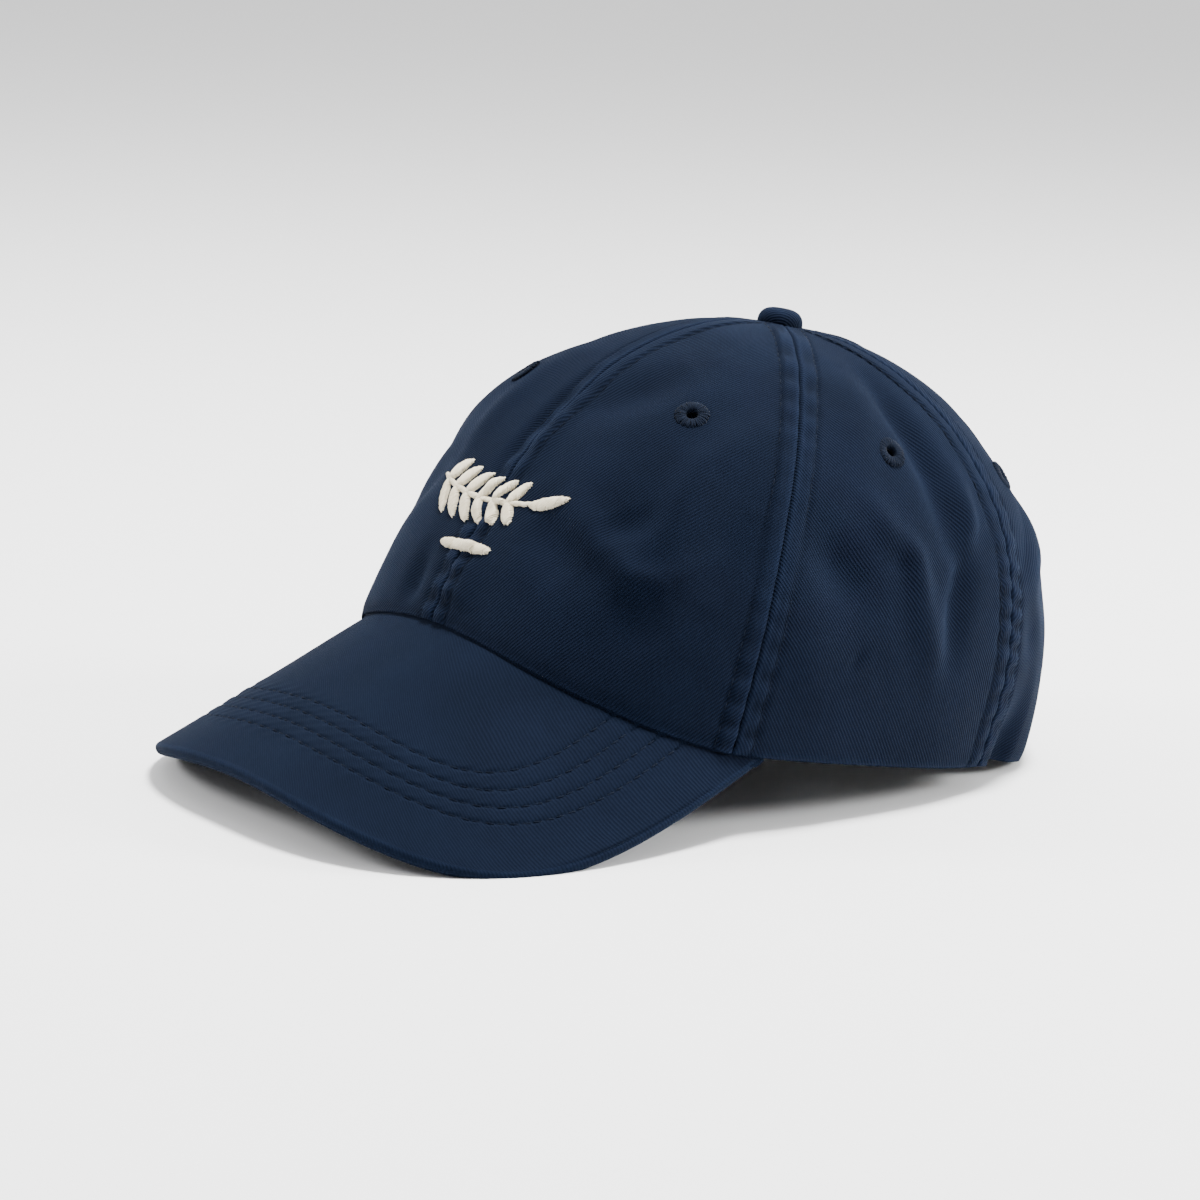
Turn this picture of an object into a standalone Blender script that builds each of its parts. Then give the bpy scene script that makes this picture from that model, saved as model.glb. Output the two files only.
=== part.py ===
"""Six-panel baseball cap with a curved peak, a sweatband and a strap-and-buckle closure.

Metres, +Z up, peak towards -Y, the wearer's left towards +X. The cap stands on a table at z = 0,
on the two front corners of the peak and on the rim beside the opening at the back.
Pieces are shaped in the cap's own frame, whose z = 0 is the plane of the rim, and the empty
"cap" tips that frame back and drops it on the table.
"""
import math

import bmesh
import bpy
import numpy as np
from mathutils import Matrix, Vector

MM = 0.001
PI = math.pi

# Fit and clearance
GAP = 0.3 * MM                      # air left between two pieces that touch
PANEL_THICKNESS = 1.0 * MM

# Crown: rim outline, height and roundness (front, side, back)
RIM_HALF_WIDTH = 79.3 * MM
RIM_FRONT = 95.3 * MM
RIM_BACK = 107.9 * MM
RIM_SQUARENESS = 2.55
CROWN_HEIGHT = 114.5 * MM
CROWN_SETBACK = 14.2 * MM           # how far behind the rim's middle the top button sits
SPREAD = (2.21, 1.95, 2.17)
RISE = (2.54, 2.27, 1.80)
BULGE = (-0.039, 0.024, 0.018)
SIDE_SEAM = math.radians(63)        # seam angles, measured from the front
BACK_SEAM = math.radians(128)
CROWN_HOLE = 1.8 * MM               # radius left open at the top for the button's shank

# Standing pose
PITCH = math.radians(9.7)
REST_Y = 95.0 * MM                  # behind this the rim is pressed flat on the table

# Peak
PEAK_LENGTH = 72.0 * MM
PEAK_HALF_SEAM = math.radians(70)
PEAK_SEAM_RISE = 19.0 * MM
PEAK_SEAM_POWER = 0.97
PEAK_CORNER = (7.4, 3.0)            # squareness of the outline, across and forward
PEAK_DROOP = (math.radians(38), math.radians(27))
PEAK_SPLAY = math.radians(11.8)
PEAK_TAPER = 77.0 * MM              # inset at which the family of inner outlines closes up
PEAK_COVER = 0.7 * MM
PEAK_BOARD = 1.9 * MM
PEAK_DEPTH = 2 * PEAK_COVER + PEAK_BOARD + 2 * GAP
PEAK_EDGE_ROUND = 1.7 * MM
PEAK_SEAM_GAP = 0.5 * MM
STITCH_ROWS = 4
STITCH_INSET = 18.0 * MM
STITCH_SPACING = 4.8 * MM
STITCH_RADIUS = 0.3 * MM

# Closure at the back
ARCH_HALF_ANGLE = math.radians(19.5)
ARCH_HEIGHT = 45.0 * MM
ARCH_SQUARENESS = 2.6
ARCH_STEPS = 12                     # facets on each half of the arch
BINDING_WIDTH = 5.0 * MM
BINDING_THICKNESS = 0.5 * MM
BINDING_GAP = 0.45 * MM
CLOSURE_CENTRE_Y = 28.5 * MM        # centre of the strap's arc
CLOSURE_HEIGHT = 17.6 * MM
CLOSURE_LEAN = math.radians(1.5)
STRAP_RADIUS = 79.0 * MM
STRAP_THICKNESS = 1.2 * MM
STRAP_HEIGHT = 18.0 * MM
STRAP_ENDS = (-55.0 * MM, 56.0 * MM)
BUCKLE_OFFSET = 2.0 * MM            # along the strap, towards the wearer's left
TAB_RADIUS = 80.4 * MM
TAB_THICKNESS = 0.8 * MM

# Buckle, in its own frame: along the strap, out from the strap's middle
BAR_ALONG = 14.0 * MM
BAR_OUT = 1.5 * MM
BAR_RADIUS = 0.7 * MM
BAR_CLEARANCE = BAR_RADIUS + GAP
PIN_ALONG = -7.5 * MM
PIN_OUT = 2.3 * MM
PIN_RADIUS = 0.7 * MM
CHEEK_INNER = STRAP_HEIGHT / 2 + 0.6 * MM
CHEEK_OUTLINE = ((-10.5, -2.6), (15.6, -2.6), (15.6, 2.7), (12.4, 2.7), (11.6, 1.0), (-4.6, 1.0),
                 (-5.9, 3.9), (-9.1, 3.9), (-10.5, 2.4))
SHEET_METAL = 0.8 * MM
LEVER_TIP = 10.6 * MM
LEVER_KNUCKLE = 1.65 * MM

# Embroidery on the front
SPRIG_LENGTH = 46.0 * MM
SPRIG_PAIRS = 6
SPRIG_HEIGHT = 54.0 * MM            # above the rim, at the middle of the sprig
SPRIG_SHIFT = -3.0 * MM             # towards the wearer's right
SPRIG_TURN = math.radians(3)
SPRIG_BOW = 4.0 * MM
LEAF_LENGTH = 11.0 * MM
LEAF_SWELL = 0.19                   # half a leaf's width as a share of its length
LEAF_LEAN = math.radians(48)
BAR_MOTIF_HALF = (11.0 * MM, 1.7 * MM)
BAR_MOTIF_HEIGHT = 40.5 * MM
BAR_MOTIF_TURN = math.radians(2)
EMBROIDERY_LOFT = 0.6 * MM

# Inner trim
TAPE_WIDTH = 12.0 * MM
TAPE_THICKNESS = 0.5 * MM
BAND_HEIGHT = 28.0 * MM
BAND_THICKNESS = 1.2 * MM
BAND_END = PI - ARCH_HALF_ANGLE - math.radians(0.5)

# Button and eyelets
BUTTON_RADIUS = 6.5 * MM
BUTTON_HEIGHT = 4.4 * MM
EYELET_HOLE = 1.7 * MM
EYELET_RADIUS = 4.1 * MM
EYELET_GAP = 0.5 * MM               # the panel curves away under the flange
EYELET_RISE = math.radians(46)
EYELETS = {"front": math.radians(35.5), "side": math.radians(94), "back": math.radians(143)}

COLOURS = {
    "navy_twill": ((0.020, 0.034, 0.072), 0.92, 0.0),
    "navy_lining": ((0.024, 0.038, 0.078), 0.90, 0.0),
    "navy_thread": ((0.026, 0.042, 0.088), 0.70, 0.0),
    "cream_thread": ((0.86, 0.84, 0.75), 0.60, 0.0),
    "board_plastic": ((0.75, 0.76, 0.74), 0.45, 0.0),
    "brass": ((0.42, 0.33, 0.17), 0.38, 1.0),
    "steel": ((0.55, 0.55, 0.54), 0.35, 1.0),
    "label_cloth": ((0.85, 0.85, 0.83), 0.80, 0.0),
}


# ---------------------------------------------------------------- scene and materials

def clear_scene():
    for item in list(bpy.data.objects):
        bpy.data.objects.remove(item, do_unlink=True)


def material(name):
    found = bpy.data.materials.get(name)
    if found:
        return found
    colour, roughness, metallic = COLOURS[name]
    made = bpy.data.materials.new(name)
    made.use_nodes = True
    shader = made.node_tree.nodes["Principled BSDF"]
    shader.inputs["Base Color"].default_value = (*colour, 1)
    shader.inputs["Roughness"].default_value = roughness
    shader.inputs["Metallic"].default_value = metallic
    made.diffuse_color = (*colour, 1)
    return made


def add_empty(name, location, rotation=(0, 0, 0), parent=None):
    empty = bpy.data.objects.new(name, None)
    empty.location = location
    empty.rotation_euler = rotation
    empty.parent = parent
    bpy.context.collection.objects.link(empty)
    return empty


def add_object(name, mesh, look, parent, smooth_angle=35):
    mesh.materials.append(material(look))
    mesh.shade_smooth()
    mesh.set_sharp_from_angle(angle=math.radians(smooth_angle))
    made = bpy.data.objects.new(name, mesh)
    made.parent = parent
    bpy.context.collection.objects.link(made)
    return made


# ---------------------------------------------------------------- solids from grids of points

def mesh_from(name, points, faces):
    mesh = bpy.data.meshes.new(name)
    mesh.from_pydata([tuple(point) for point in points], [], faces)
    mesh.validate()
    work = bmesh.new()
    work.from_mesh(mesh)
    bmesh.ops.recalc_face_normals(work, faces=work.faces)
    if work.calc_volume(signed=True) < 0:
        bmesh.ops.reverse_faces(work, faces=work.faces)
    work.to_mesh(mesh)
    work.free()
    return mesh


def shell_mesh(name, outer, inner):
    """A closed sheet between two grids of points of the same shape."""
    rows, columns = outer.shape[:2]
    points = np.concatenate([outer.reshape(-1, 3), inner.reshape(-1, 3)])
    below = rows * columns

    def index(row, column):
        return row * columns + column

    faces = []
    for row in range(rows - 1):
        for column in range(columns - 1):
            quad = [index(row, column), index(row, column + 1),
                    index(row + 1, column + 1), index(row + 1, column)]
            faces.append(quad)
            faces.append([below + corner for corner in reversed(quad)])
    border = [index(0, column) for column in range(columns)]
    border += [index(row, columns - 1) for row in range(1, rows)]
    border += [index(rows - 1, column) for column in range(columns - 2, -1, -1)]
    border += [index(row, 0) for row in range(rows - 2, 0, -1)]
    for first, second in zip(border, border[1:] + border[:1]):
        faces.append([first, below + first, below + second, second])
    return mesh_from(name, points, faces)


def sweep_mesh(name, rings):
    """A bar whose closed sections are the rows of rings, with flat ends."""
    count, sides = rings.shape[:2]
    faces = []
    for ring in range(count - 1):
        for side in range(sides):
            near = ring * sides + side
            far = ring * sides + (side + 1) % sides
            faces.append([near, far, far + sides, near + sides])
    faces.append(list(range(sides))[::-1])
    faces.append([(count - 1) * sides + side for side in range(sides)])
    return mesh_from(name, rings.reshape(-1, 3), faces)


def turned_mesh(name, profile, sides):
    """A ring made by turning a closed (radius, height) profile about Z."""
    count = len(profile)
    turns = np.arange(sides) * 2 * PI / sides
    points = [(r * math.cos(a), r * math.sin(a), z) for a in turns for r, z in profile]
    faces = []
    for turn in range(sides):
        following = (turn + 1) % sides
        for k in range(count):
            step = (k + 1) % count
            faces.append([turn * count + k, following * count + k,
                          following * count + step, turn * count + step])
    return mesh_from(name, points, faces)


def domed_mesh(name, profile, sides):
    """A turned solid whose (radius, height) profile starts and ends on the axis."""
    ring_points = profile[1:-1]
    count = len(ring_points)
    turns = np.arange(sides) * 2 * PI / sides
    points = [(r * math.cos(a), r * math.sin(a), z) for a in turns for r, z in ring_points]
    first = len(points)
    points += [(0, 0, profile[0][1]), (0, 0, profile[-1][1])]
    faces = []
    for turn in range(sides):
        near = turn * count
        far = (turn + 1) % sides * count
        for k in range(count - 1):
            faces.append([near + k, far + k, far + k + 1, near + k + 1])
        faces.append([first, far, near])
        faces.append([first + 1, near + count - 1, far + count - 1])
    return mesh_from(name, points, faces)


def prism_mesh(name, outline, low, high):
    """An outline in X and Y, extruded from z = low to z = high."""
    count = len(outline)
    points = [(x, y, low) for x, y in outline] + [(x, y, high) for x, y in outline]
    faces = [list(range(count))[::-1], list(range(count, 2 * count))]
    for k in range(count):
        following = (k + 1) % count
        faces.append([k, following, following + count, k + count])
    return mesh_from(name, points, faces)


def cylinder_mesh(name, radius, low, high, sides=16):
    turns = np.arange(sides) * 2 * PI / sides
    return prism_mesh(name, [(radius * math.cos(a), radius * math.sin(a)) for a in turns], low, high)


def cut(target, mesh, matrix, operation="DIFFERENCE"):
    """Adds a Boolean to target, whose operand is a hidden wire object."""
    tool = bpy.data.objects.new(f"{target.name}_cutter", mesh)
    bpy.context.collection.objects.link(tool)
    tool.parent = target.parent
    tool.matrix_local = matrix
    tool.hide_render = True
    tool.display_type = "WIRE"
    step = target.modifiers.new(operation.lower(), "BOOLEAN")
    step.operation = operation
    step.solver = "EXACT"
    step.object = tool


# ---------------------------------------------------------------- crown surface

def by_direction(angle, values):
    """Mixes the front, side and back values by where round the head the angle points."""
    front = np.clip(np.cos(angle), 0, 1) ** 2
    back = np.clip(-np.cos(angle), 0, 1) ** 2
    return front * values[0] + (1 - front - back) * values[1] + back * values[2]


def rim_radius(angle):
    along = np.where(np.cos(angle) > 0, RIM_FRONT, RIM_BACK)
    total = (np.abs(np.sin(angle) / RIM_HALF_WIDTH) ** RIM_SQUARENESS
             + np.abs(np.cos(angle) / along) ** RIM_SQUARENESS)
    return total ** (-1 / RIM_SQUARENESS)


def crown_surface(angle, rise):
    """Outer surface: angle from the front towards the left, rise from 0 at the rim to 90 degrees."""
    shrink = (np.cos(rise) ** (2 / by_direction(angle, SPREAD))
              * (1 + 2 * by_direction(angle, BULGE) * np.sin(2 * rise)))
    height = CROWN_HEIGHT * np.sin(rise) ** (2 / by_direction(angle, RISE))
    radius = rim_radius(angle) * shrink
    setback = CROWN_SETBACK * height / CROWN_HEIGHT
    return np.stack([radius * np.sin(angle), setback - radius * np.cos(angle), height], -1)


def crown_point(angle, rise, depth=0.0):
    """A point the given depth inside the outer surface."""
    angle, rise = np.broadcast_arrays(np.asarray(angle, float), np.asarray(rise, float))
    step = 0.01
    top = PI / 2 - 0.001
    around = crown_surface(angle + step, rise) - crown_surface(angle - step, rise)
    upward = (crown_surface(angle, np.minimum(rise + step, top))
              - crown_surface(angle, np.maximum(rise - step, 0)))
    normal = np.cross(around, upward)
    normal /= np.linalg.norm(normal, axis=-1, keepdims=True)
    depth = np.broadcast_to(depth, angle.shape)
    return crown_surface(angle, rise) - normal * depth[..., None]


def rise_at(angle, height):
    share = np.clip(height / CROWN_HEIGHT, 0, 1)
    return np.arcsin(share ** (by_direction(angle, RISE) / 2))


def rise_near_top(angle, radius):
    share = radius / rim_radius(angle)
    return np.arccos(share ** (by_direction(angle, SPREAD) / 2))


def peak_seam_height(angle):
    share = np.clip(np.abs(angle) / PEAK_HALF_SEAM, 0, 1)
    return PEAK_SEAM_RISE * np.cos(share * PI / 2) ** (2 * PEAK_SEAM_POWER)


def arch_height(angle):
    share = np.clip((PI - np.abs(angle)) / ARCH_HALF_ANGLE, 0, 1)
    return ARCH_HEIGHT * (1 - share ** ARCH_SQUARENESS) ** (1 / ARCH_SQUARENESS)


def lower_edge(angle):
    return np.maximum(peak_seam_height(angle), arch_height(angle))


def rest_flat(points):
    """Presses anything that would reach below the table flat against it."""
    table = (points[..., 1] - REST_Y) * math.tan(PITCH)
    points[..., 2] = np.maximum(points[..., 2], table)
    return points


# ---------------------------------------------------------------- crown pieces

def panel_angles(start, end):
    """Column angles; over the arch they bunch up so that its steep foot stays round."""
    foot = PI - ARCH_HALF_ANGLE
    if end < foot:
        return np.linspace(start, end, 11)
    swings = np.linspace(0, PI / 2, ARCH_STEPS + 1)
    over_arch = PI - ARCH_HALF_ANGLE * np.abs(np.cos(swings)) ** (2 / ARCH_SQUARENESS)
    return np.concatenate([np.linspace(start, foot, 7)[:-1], over_arch])


def add_panel(name, start, end, side, cap):
    angles = panel_angles(start, end)
    rows = np.linspace(0, 1, 15)[:, None]
    low = rise_at(angles, lower_edge(angles))
    high = rise_near_top(angles, CROWN_HOLE)
    rise = low + (high - low) * rows
    radius = np.linalg.norm(crown_surface(angles + 0 * rise, rise)[..., :2]
                            - [0, CROWN_SETBACK], axis=-1)
    squeeze = GAP / 2 / np.maximum(radius, CROWN_HOLE)
    share = (angles - start) / (end - start)
    angles = start + squeeze + (end - start - 2 * squeeze) * share
    outer = rest_flat(crown_point(side * angles, rise))
    inner = rest_flat(crown_point(side * angles, rise, PANEL_THICKNESS))
    return add_object(name, shell_mesh(name, outer, inner), "navy_twill", cap, 60)


def crown_matrix(angle, rise):
    """Placement on the crown: origin on the outer surface, Z along its outward normal."""
    point = crown_point(angle, rise)
    outward = Vector(point - crown_point(angle, rise, 1 * MM)).normalized()
    return Matrix.Translation(point) @ outward.to_track_quat("Z", "Y").to_matrix().to_4x4()


def eyelet_mesh():
    """Thread wrapped round the hole: a flange outside, a flange inside and the barrel."""
    lip = 0.6 * MM
    outside = EYELET_GAP
    inside = -PANEL_THICKNESS - EYELET_GAP
    barrel = EYELET_HOLE + lip
    profile = [(EYELET_HOLE, inside - lip), (EYELET_RADIUS, inside - lip), (EYELET_RADIUS, inside),
               (barrel, inside), (barrel, outside), (EYELET_RADIUS, outside),
               (EYELET_RADIUS - lip / 2, outside + lip), (EYELET_HOLE + lip / 2, outside + lip),
               (EYELET_HOLE, outside)]
    return turned_mesh("eyelet", profile, 20)


def add_crown(cap):
    spans = {"front": (0, SIDE_SEAM), "side": (SIDE_SEAM, BACK_SEAM), "back": (BACK_SEAM, PI)}
    hole = cylinder_mesh("eyelet_hole", EYELET_HOLE + 1.0 * MM, -4 * MM, 4 * MM, 20)
    ring = eyelet_mesh()
    for place, (start, end) in spans.items():
        for hand, side in (("left", 1), ("right", -1)):
            panel = add_panel(f"{place}_panel_{hand}", start, end, side, cap)
            matrix = crown_matrix(side * EYELETS[place], EYELET_RISE)
            cut(panel, hole, matrix)
            eyelet = add_object(f"eyelet_{place}_{hand}", ring.copy(), "navy_thread", cap)
            eyelet.matrix_local = matrix


def add_tape(name, angle, cap):
    """Tape that covers one seam on the inside, from the hem to just short of the button."""
    rows = 15
    at_back = abs(angle) > PI - 0.1
    start = arch_height(PI) + BINDING_WIDTH + 2 * MM if at_back else lower_edge(angle)
    low = rise_at(angle, start)
    high = rise_near_top(angle, TAPE_WIDTH + 1.5 * MM)
    rise = np.linspace(low, high, rows)[:, None] + np.zeros((1, 3))
    middle = crown_surface(angle + 0 * rise, rise)
    radius = np.linalg.norm(middle[..., :2] - [0, CROWN_SETBACK], axis=-1)
    half = TAPE_WIDTH / 2 / radius
    angles = angle + half * np.array([-1, 0, 1])
    depth = PANEL_THICKNESS + GAP
    outer = rest_flat(crown_point(angles, rise, depth))
    inner = rest_flat(crown_point(angles, rise, depth + TAPE_THICKNESS))
    add_object(name, shell_mesh(name, outer, inner), "navy_lining", cap, 60)


def band_depth(angle):
    """Depth of the sweatband's outer face; it swings inwards to leave room for the strap."""
    along_hem = PANEL_THICKNESS + TAPE_THICKNESS + 2 * GAP
    room = 3.9 * MM
    share = np.clip((np.abs(angle) - math.radians(127)) / math.radians(11), 0, 1)
    return along_hem + room * share * share * (3 - 2 * share)


def add_sweatband(cap):
    half = np.concatenate([np.linspace(0, SIDE_SEAM, 9)[:-1], np.linspace(SIDE_SEAM, BAND_END, 15)])
    angles = np.concatenate([-half[:0:-1], half])
    levels = np.linspace(0, 1, 4)[:, None]
    hem = 0.8 * MM
    height = peak_seam_height(angles) * (1 - 0.2 * levels) + hem + (BAND_HEIGHT - hem) * levels
    rise = rise_at(angles, height)
    depth = band_depth(angles + 0 * rise)
    outer = rest_flat(crown_point(angles, rise, depth))
    inner = rest_flat(crown_point(angles, rise, depth + BAND_THICKNESS))
    add_object("sweatband", shell_mesh("sweatband", outer, inner), "navy_lining", cap, 60)


def add_care_label(cap):
    """Blank label sewn to the inside of the sweatband."""
    angles = np.radians(np.linspace(96, 114, 5))
    rise = rise_at(angles, np.linspace(6, 25, 3)[:, None] * MM)
    depth = band_depth(angles + 0 * rise) + BAND_THICKNESS + GAP
    outer = crown_point(angles, rise, depth)
    inner = crown_point(angles, rise, depth + 0.4 * MM)
    add_object("care_label", shell_mesh("care_label", outer, inner), "label_cloth", cap, 60)


def add_arch_binding(cap):
    """Folded tape round the edge of the opening at the back, one leg outside and one inside."""
    out = BINDING_GAP + BINDING_THICKNESS
    section = [(BINDING_WIDTH, out), (-out, out), (-out, -PANEL_THICKNESS - out),
               (BINDING_WIDTH, -PANEL_THICKNESS - out), (BINDING_WIDTH, -PANEL_THICKNESS - BINDING_GAP),
               (-BINDING_GAP, -PANEL_THICKNESS - BINDING_GAP), (-BINDING_GAP, BINDING_GAP),
               (BINDING_WIDTH, BINDING_GAP)]
    foot_distance = RIM_BACK * 0.97
    rings = []
    for swing in np.linspace(-PI / 2, PI / 2, 2 * ARCH_STEPS + 1):
        ring = []
        for away, proud in section:
            half_angle = ARCH_HALF_ANGLE + away / foot_distance
            across = math.copysign(abs(math.sin(swing)) ** (2 / ARCH_SQUARENESS), swing)
            angle = PI - half_angle * across
            height = (ARCH_HEIGHT + away) * max(math.cos(swing), 0) ** (2 / ARCH_SQUARENESS)
            ring.append(crown_point(angle, rise_at(angle, height), -proud))
        rings.append(ring)
    rings = rest_flat(np.array(rings))
    add_object("arch_binding", sweep_mesh("arch_binding", rings), "navy_twill", cap, 60)


# ---------------------------------------------------------------- button

def dome_profile(radius, height, low, steps=6):
    """Half an ellipse from the rim to the axis."""
    swings = np.linspace(0, PI / 2, steps + 1)
    return [(radius * math.cos(a), low + height * math.sin(a)) for a in swings[:-1]] + [(0, low + height)]


def add_button(cap):
    matrix = Matrix.Translation((0, CROWN_SETBACK, CROWN_HEIGHT))
    seat = 0.5 * MM
    cloth = 0.6 * MM
    metal = 0.5 * MM
    inner_radius = BUTTON_RADIUS - cloth - GAP
    inner_height = BUTTON_HEIGHT - cloth - GAP
    outer = dome_profile(BUTTON_RADIUS, BUTTON_HEIGHT - seat, seat)
    hollow = dome_profile(BUTTON_RADIUS - cloth, BUTTON_HEIGHT - seat - cloth, seat)
    cover_profile = [hollow[-1]] + hollow[-2::-1] + outer
    cover = add_object("button_cover", domed_mesh("button_cover", cover_profile, 24), "navy_twill", cap)
    cover.matrix_local = matrix

    outer = dome_profile(inner_radius, inner_height - seat, seat, 4)
    hollow = dome_profile(inner_radius - metal, inner_height - seat - metal, seat, 4)
    shell_profile = [hollow[-1]] + hollow[-2::-1] + outer
    shell = add_object("button_shell", domed_mesh("button_shell", shell_profile, 20), "steel", cap)
    shell.matrix_local = matrix

    shank = 1.2 * MM
    plate = 5.0 * MM
    below = -PANEL_THICKNESS - 3 * GAP
    tip = inner_height - metal - GAP
    rivet_profile = [(0, below - 0.8 * MM), (plate, below - 0.8 * MM), (plate, below),
                     (shank, below), (shank, tip), (0, tip)]
    rivet = add_object("button_rivet", domed_mesh("button_rivet", rivet_profile, 16), "steel", cap)
    rivet.matrix_local = matrix


# ---------------------------------------------------------------- peak

def peak_start(angle):
    """Where the peak leaves the crown: under the panels' lower edge."""
    point = crown_point(angle, rise_at(angle, peak_seam_height(angle)), PANEL_THICKNESS)
    point[..., 2] -= PEAK_SEAM_GAP
    return point


def peak_ruled(share, reach):
    """The peak bends one way only: straight rulings that run forward from the seam."""
    droop = PEAK_DROOP[0] + (PEAK_DROOP[1] - PEAK_DROOP[0]) * share ** 2
    splay = PEAK_SPLAY * share
    ruling = np.stack([np.cos(droop) * np.sin(splay), -np.cos(droop) * np.cos(splay), -np.sin(droop)], -1)
    return peak_start(PEAK_HALF_SEAM * share) + ruling * reach[..., None]


def peak_point(station, inset, depth=0.0):
    """Station runs from -1 to 1 along an outline that lies inset from the edge; depth goes down."""
    station, inset = np.broadcast_arrays(np.asarray(station, float), np.asarray(inset, float))
    share = station * (1 - inset / PEAK_TAPER)
    across, forward = PEAK_CORNER
    reach = (PEAK_LENGTH - inset) * np.clip(1 - np.abs(station) ** across, 0, 1) ** (1 / forward)
    step = 0.002
    sideways = peak_ruled(share + step, reach) - peak_ruled(share - step, reach)
    forwards = peak_ruled(share, reach + 1 * MM) - peak_ruled(share, reach)
    normal = np.cross(forwards, sideways)
    normal /= np.linalg.norm(normal, axis=-1, keepdims=True)
    return peak_ruled(share, reach) - normal * depth


def even_stations(count, inset=0.0):
    """Stations spaced evenly along an outline of the peak."""
    fine = np.sin(np.linspace(-PI / 2, PI / 2, 2001))
    steps = np.linalg.norm(np.diff(peak_point(fine, inset), axis=0), axis=1)
    length = np.concatenate([[0], np.cumsum(steps)])
    stations = np.interp(np.linspace(0, length[-1], count), length, fine)
    stations[0] = -1
    stations[-1] = 1
    return stations


def peak_outward(stations):
    """Steps out of the peak's edge, 1 m clear of the outline; at the two ends they follow the seam."""
    edge = peak_point(stations, 0.0)
    outward = edge - peak_point(stations, 0.5 * MM)
    along = np.gradient(edge, axis=0)
    along /= np.linalg.norm(along, axis=1, keepdims=True)
    clear = np.linalg.norm(np.cross(outward, along), axis=1, keepdims=True)
    return outward / clear


def peak_grid(count, sink, swings):
    """Rows of points, first round the edge and then back to the seam, sunk into the peak by sink."""
    stations = even_stations(count)
    edge_inset = PEAK_EDGE_ROUND + 0.7 * MM
    insets = edge_inset + (PEAK_LENGTH - edge_inset) * np.linspace(0, 1, 9) ** 0.9
    half = PEAK_DEPTH / 2
    outward = peak_outward(stations)
    down = peak_point(stations, 0.0, 1.0) - peak_point(stations, 0.0)
    centre = peak_point(stations, 0.0) - outward * PEAK_EDGE_ROUND + down * half
    rows = []
    for swing in swings:
        rows.append(centre + outward * (PEAK_EDGE_ROUND - sink) * math.sin(swing)
                    - down * (half - sink) * math.cos(swing))
    level = sink if swings[-1] < PI / 2 else PEAK_DEPTH - sink
    for inset in insets:
        rows.append(peak_point(even_stations(count, inset), inset, level))
    return np.array(rows)


def add_peak(cap):
    count = 41
    top = np.radians([86, 45, 0])
    bottom = np.radians([94, 135, 180])
    for name, swings in (("peak_top_cover", top), ("peak_under_cover", bottom)):
        outer = peak_grid(count, 0.0, swings)
        inner = peak_grid(count, PEAK_COVER, swings)
        mesh = shell_mesh(name, rest_flat(outer), rest_flat(inner))
        add_object(name, mesh, "navy_twill", cap, 50)
    board_sink = PEAK_COVER + GAP
    upper = peak_grid(count, board_sink, np.radians([90, 45, 0]))
    lower = peak_grid(count, board_sink, np.radians([90, 135, 180]))
    rings = np.concatenate([upper[::-1], lower[1:]]).transpose(1, 0, 2)
    add_object("peak_board", sweep_mesh("peak_board", rings), "board_plastic", cap, 50)


def add_peak_stitching(cap):
    """Four rows of topstitching that follow the peak's outline."""
    for row in range(STITCH_ROWS):
        inset = STITCH_INSET + row * STITCH_SPACING
        stations = even_stations(37, inset)[1:-1]
        along = np.gradient(peak_point(stations, inset), axis=0)
        upward = peak_point(stations, inset, -1.0) - peak_point(stations, inset)
        across = np.cross(along, upward)
        across /= np.linalg.norm(across, axis=1, keepdims=True)
        path = peak_point(stations, inset, -STITCH_RADIUS - GAP)
        rings = [path + STITCH_RADIUS * (across * math.cos(a) + upward * math.sin(a))
                 for a in np.arange(4) * PI / 2]
        name = f"peak_stitching_{row + 1}"
        add_object(name, sweep_mesh(name, np.stack(rings, 1)), "navy_thread", cap, 80)


# ---------------------------------------------------------------- motif on the front

def sprig_outline(length, leaf, pairs):
    """A leafy sprig as one closed outline: up one side of the stem, round the tip leaf and back."""
    half_stem = 0.6 * MM
    base = 0.5 * MM
    ahead = np.array([math.cos(LEAF_LEAN), math.sin(LEAF_LEAN)])
    across = np.array([-math.sin(LEAF_LEAN), math.cos(LEAF_LEAN)])
    swell = [(share, LEAF_SWELL * leaf * math.sin(PI * share ** 0.85)) for share in (0.2, 0.4, 0.6, 0.8)]
    upper = [(-length * 0.04, half_stem)]
    for k in range(pairs):
        root = np.array([length * (0.06 + 0.84 * k / pairs), half_stem])
        upper.append(tuple(root - [base, 0]))
        upper += [tuple(root + ahead * leaf * share + across * width) for share, width in swell]
        upper.append(tuple(root + ahead * leaf))
        upper += [tuple(root + ahead * leaf * share - across * width) for share, width in swell[::-1]]
        upper.append(tuple(root + [base, 0]))
    tip = [(length, half_stem), (length + 0.4 * leaf, 0.24 * leaf), (length + 0.7 * leaf, 0.2 * leaf),
           (length + 1.1 * leaf, 0), (length + 0.7 * leaf, -0.2 * leaf), (length + 0.4 * leaf, -0.24 * leaf),
           (length, -half_stem)]
    return upper + tip + [(x, -y) for x, y in reversed(upper)]


def on_front(outline, centre_height, turn, bow=0.0):
    """Carries a flat outline on to the front of the crown, centred, turned and bowed."""
    flat = np.array(outline)
    flat[:, 0] -= (flat[:, 0].min() + flat[:, 0].max()) / 2
    flat[:, 1] += bow * (flat[:, 0] / flat[:, 0].max()) ** 2
    x = SPRIG_SHIFT + flat[:, 0] * math.cos(turn) - flat[:, 1] * math.sin(turn)
    y = flat[:, 0] * math.sin(turn) + flat[:, 1] * math.cos(turn)
    height = centre_height + y * 0.88
    angle = x / (RIM_FRONT - 0.26 * height)
    return angle, rise_at(angle, height)


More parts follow.
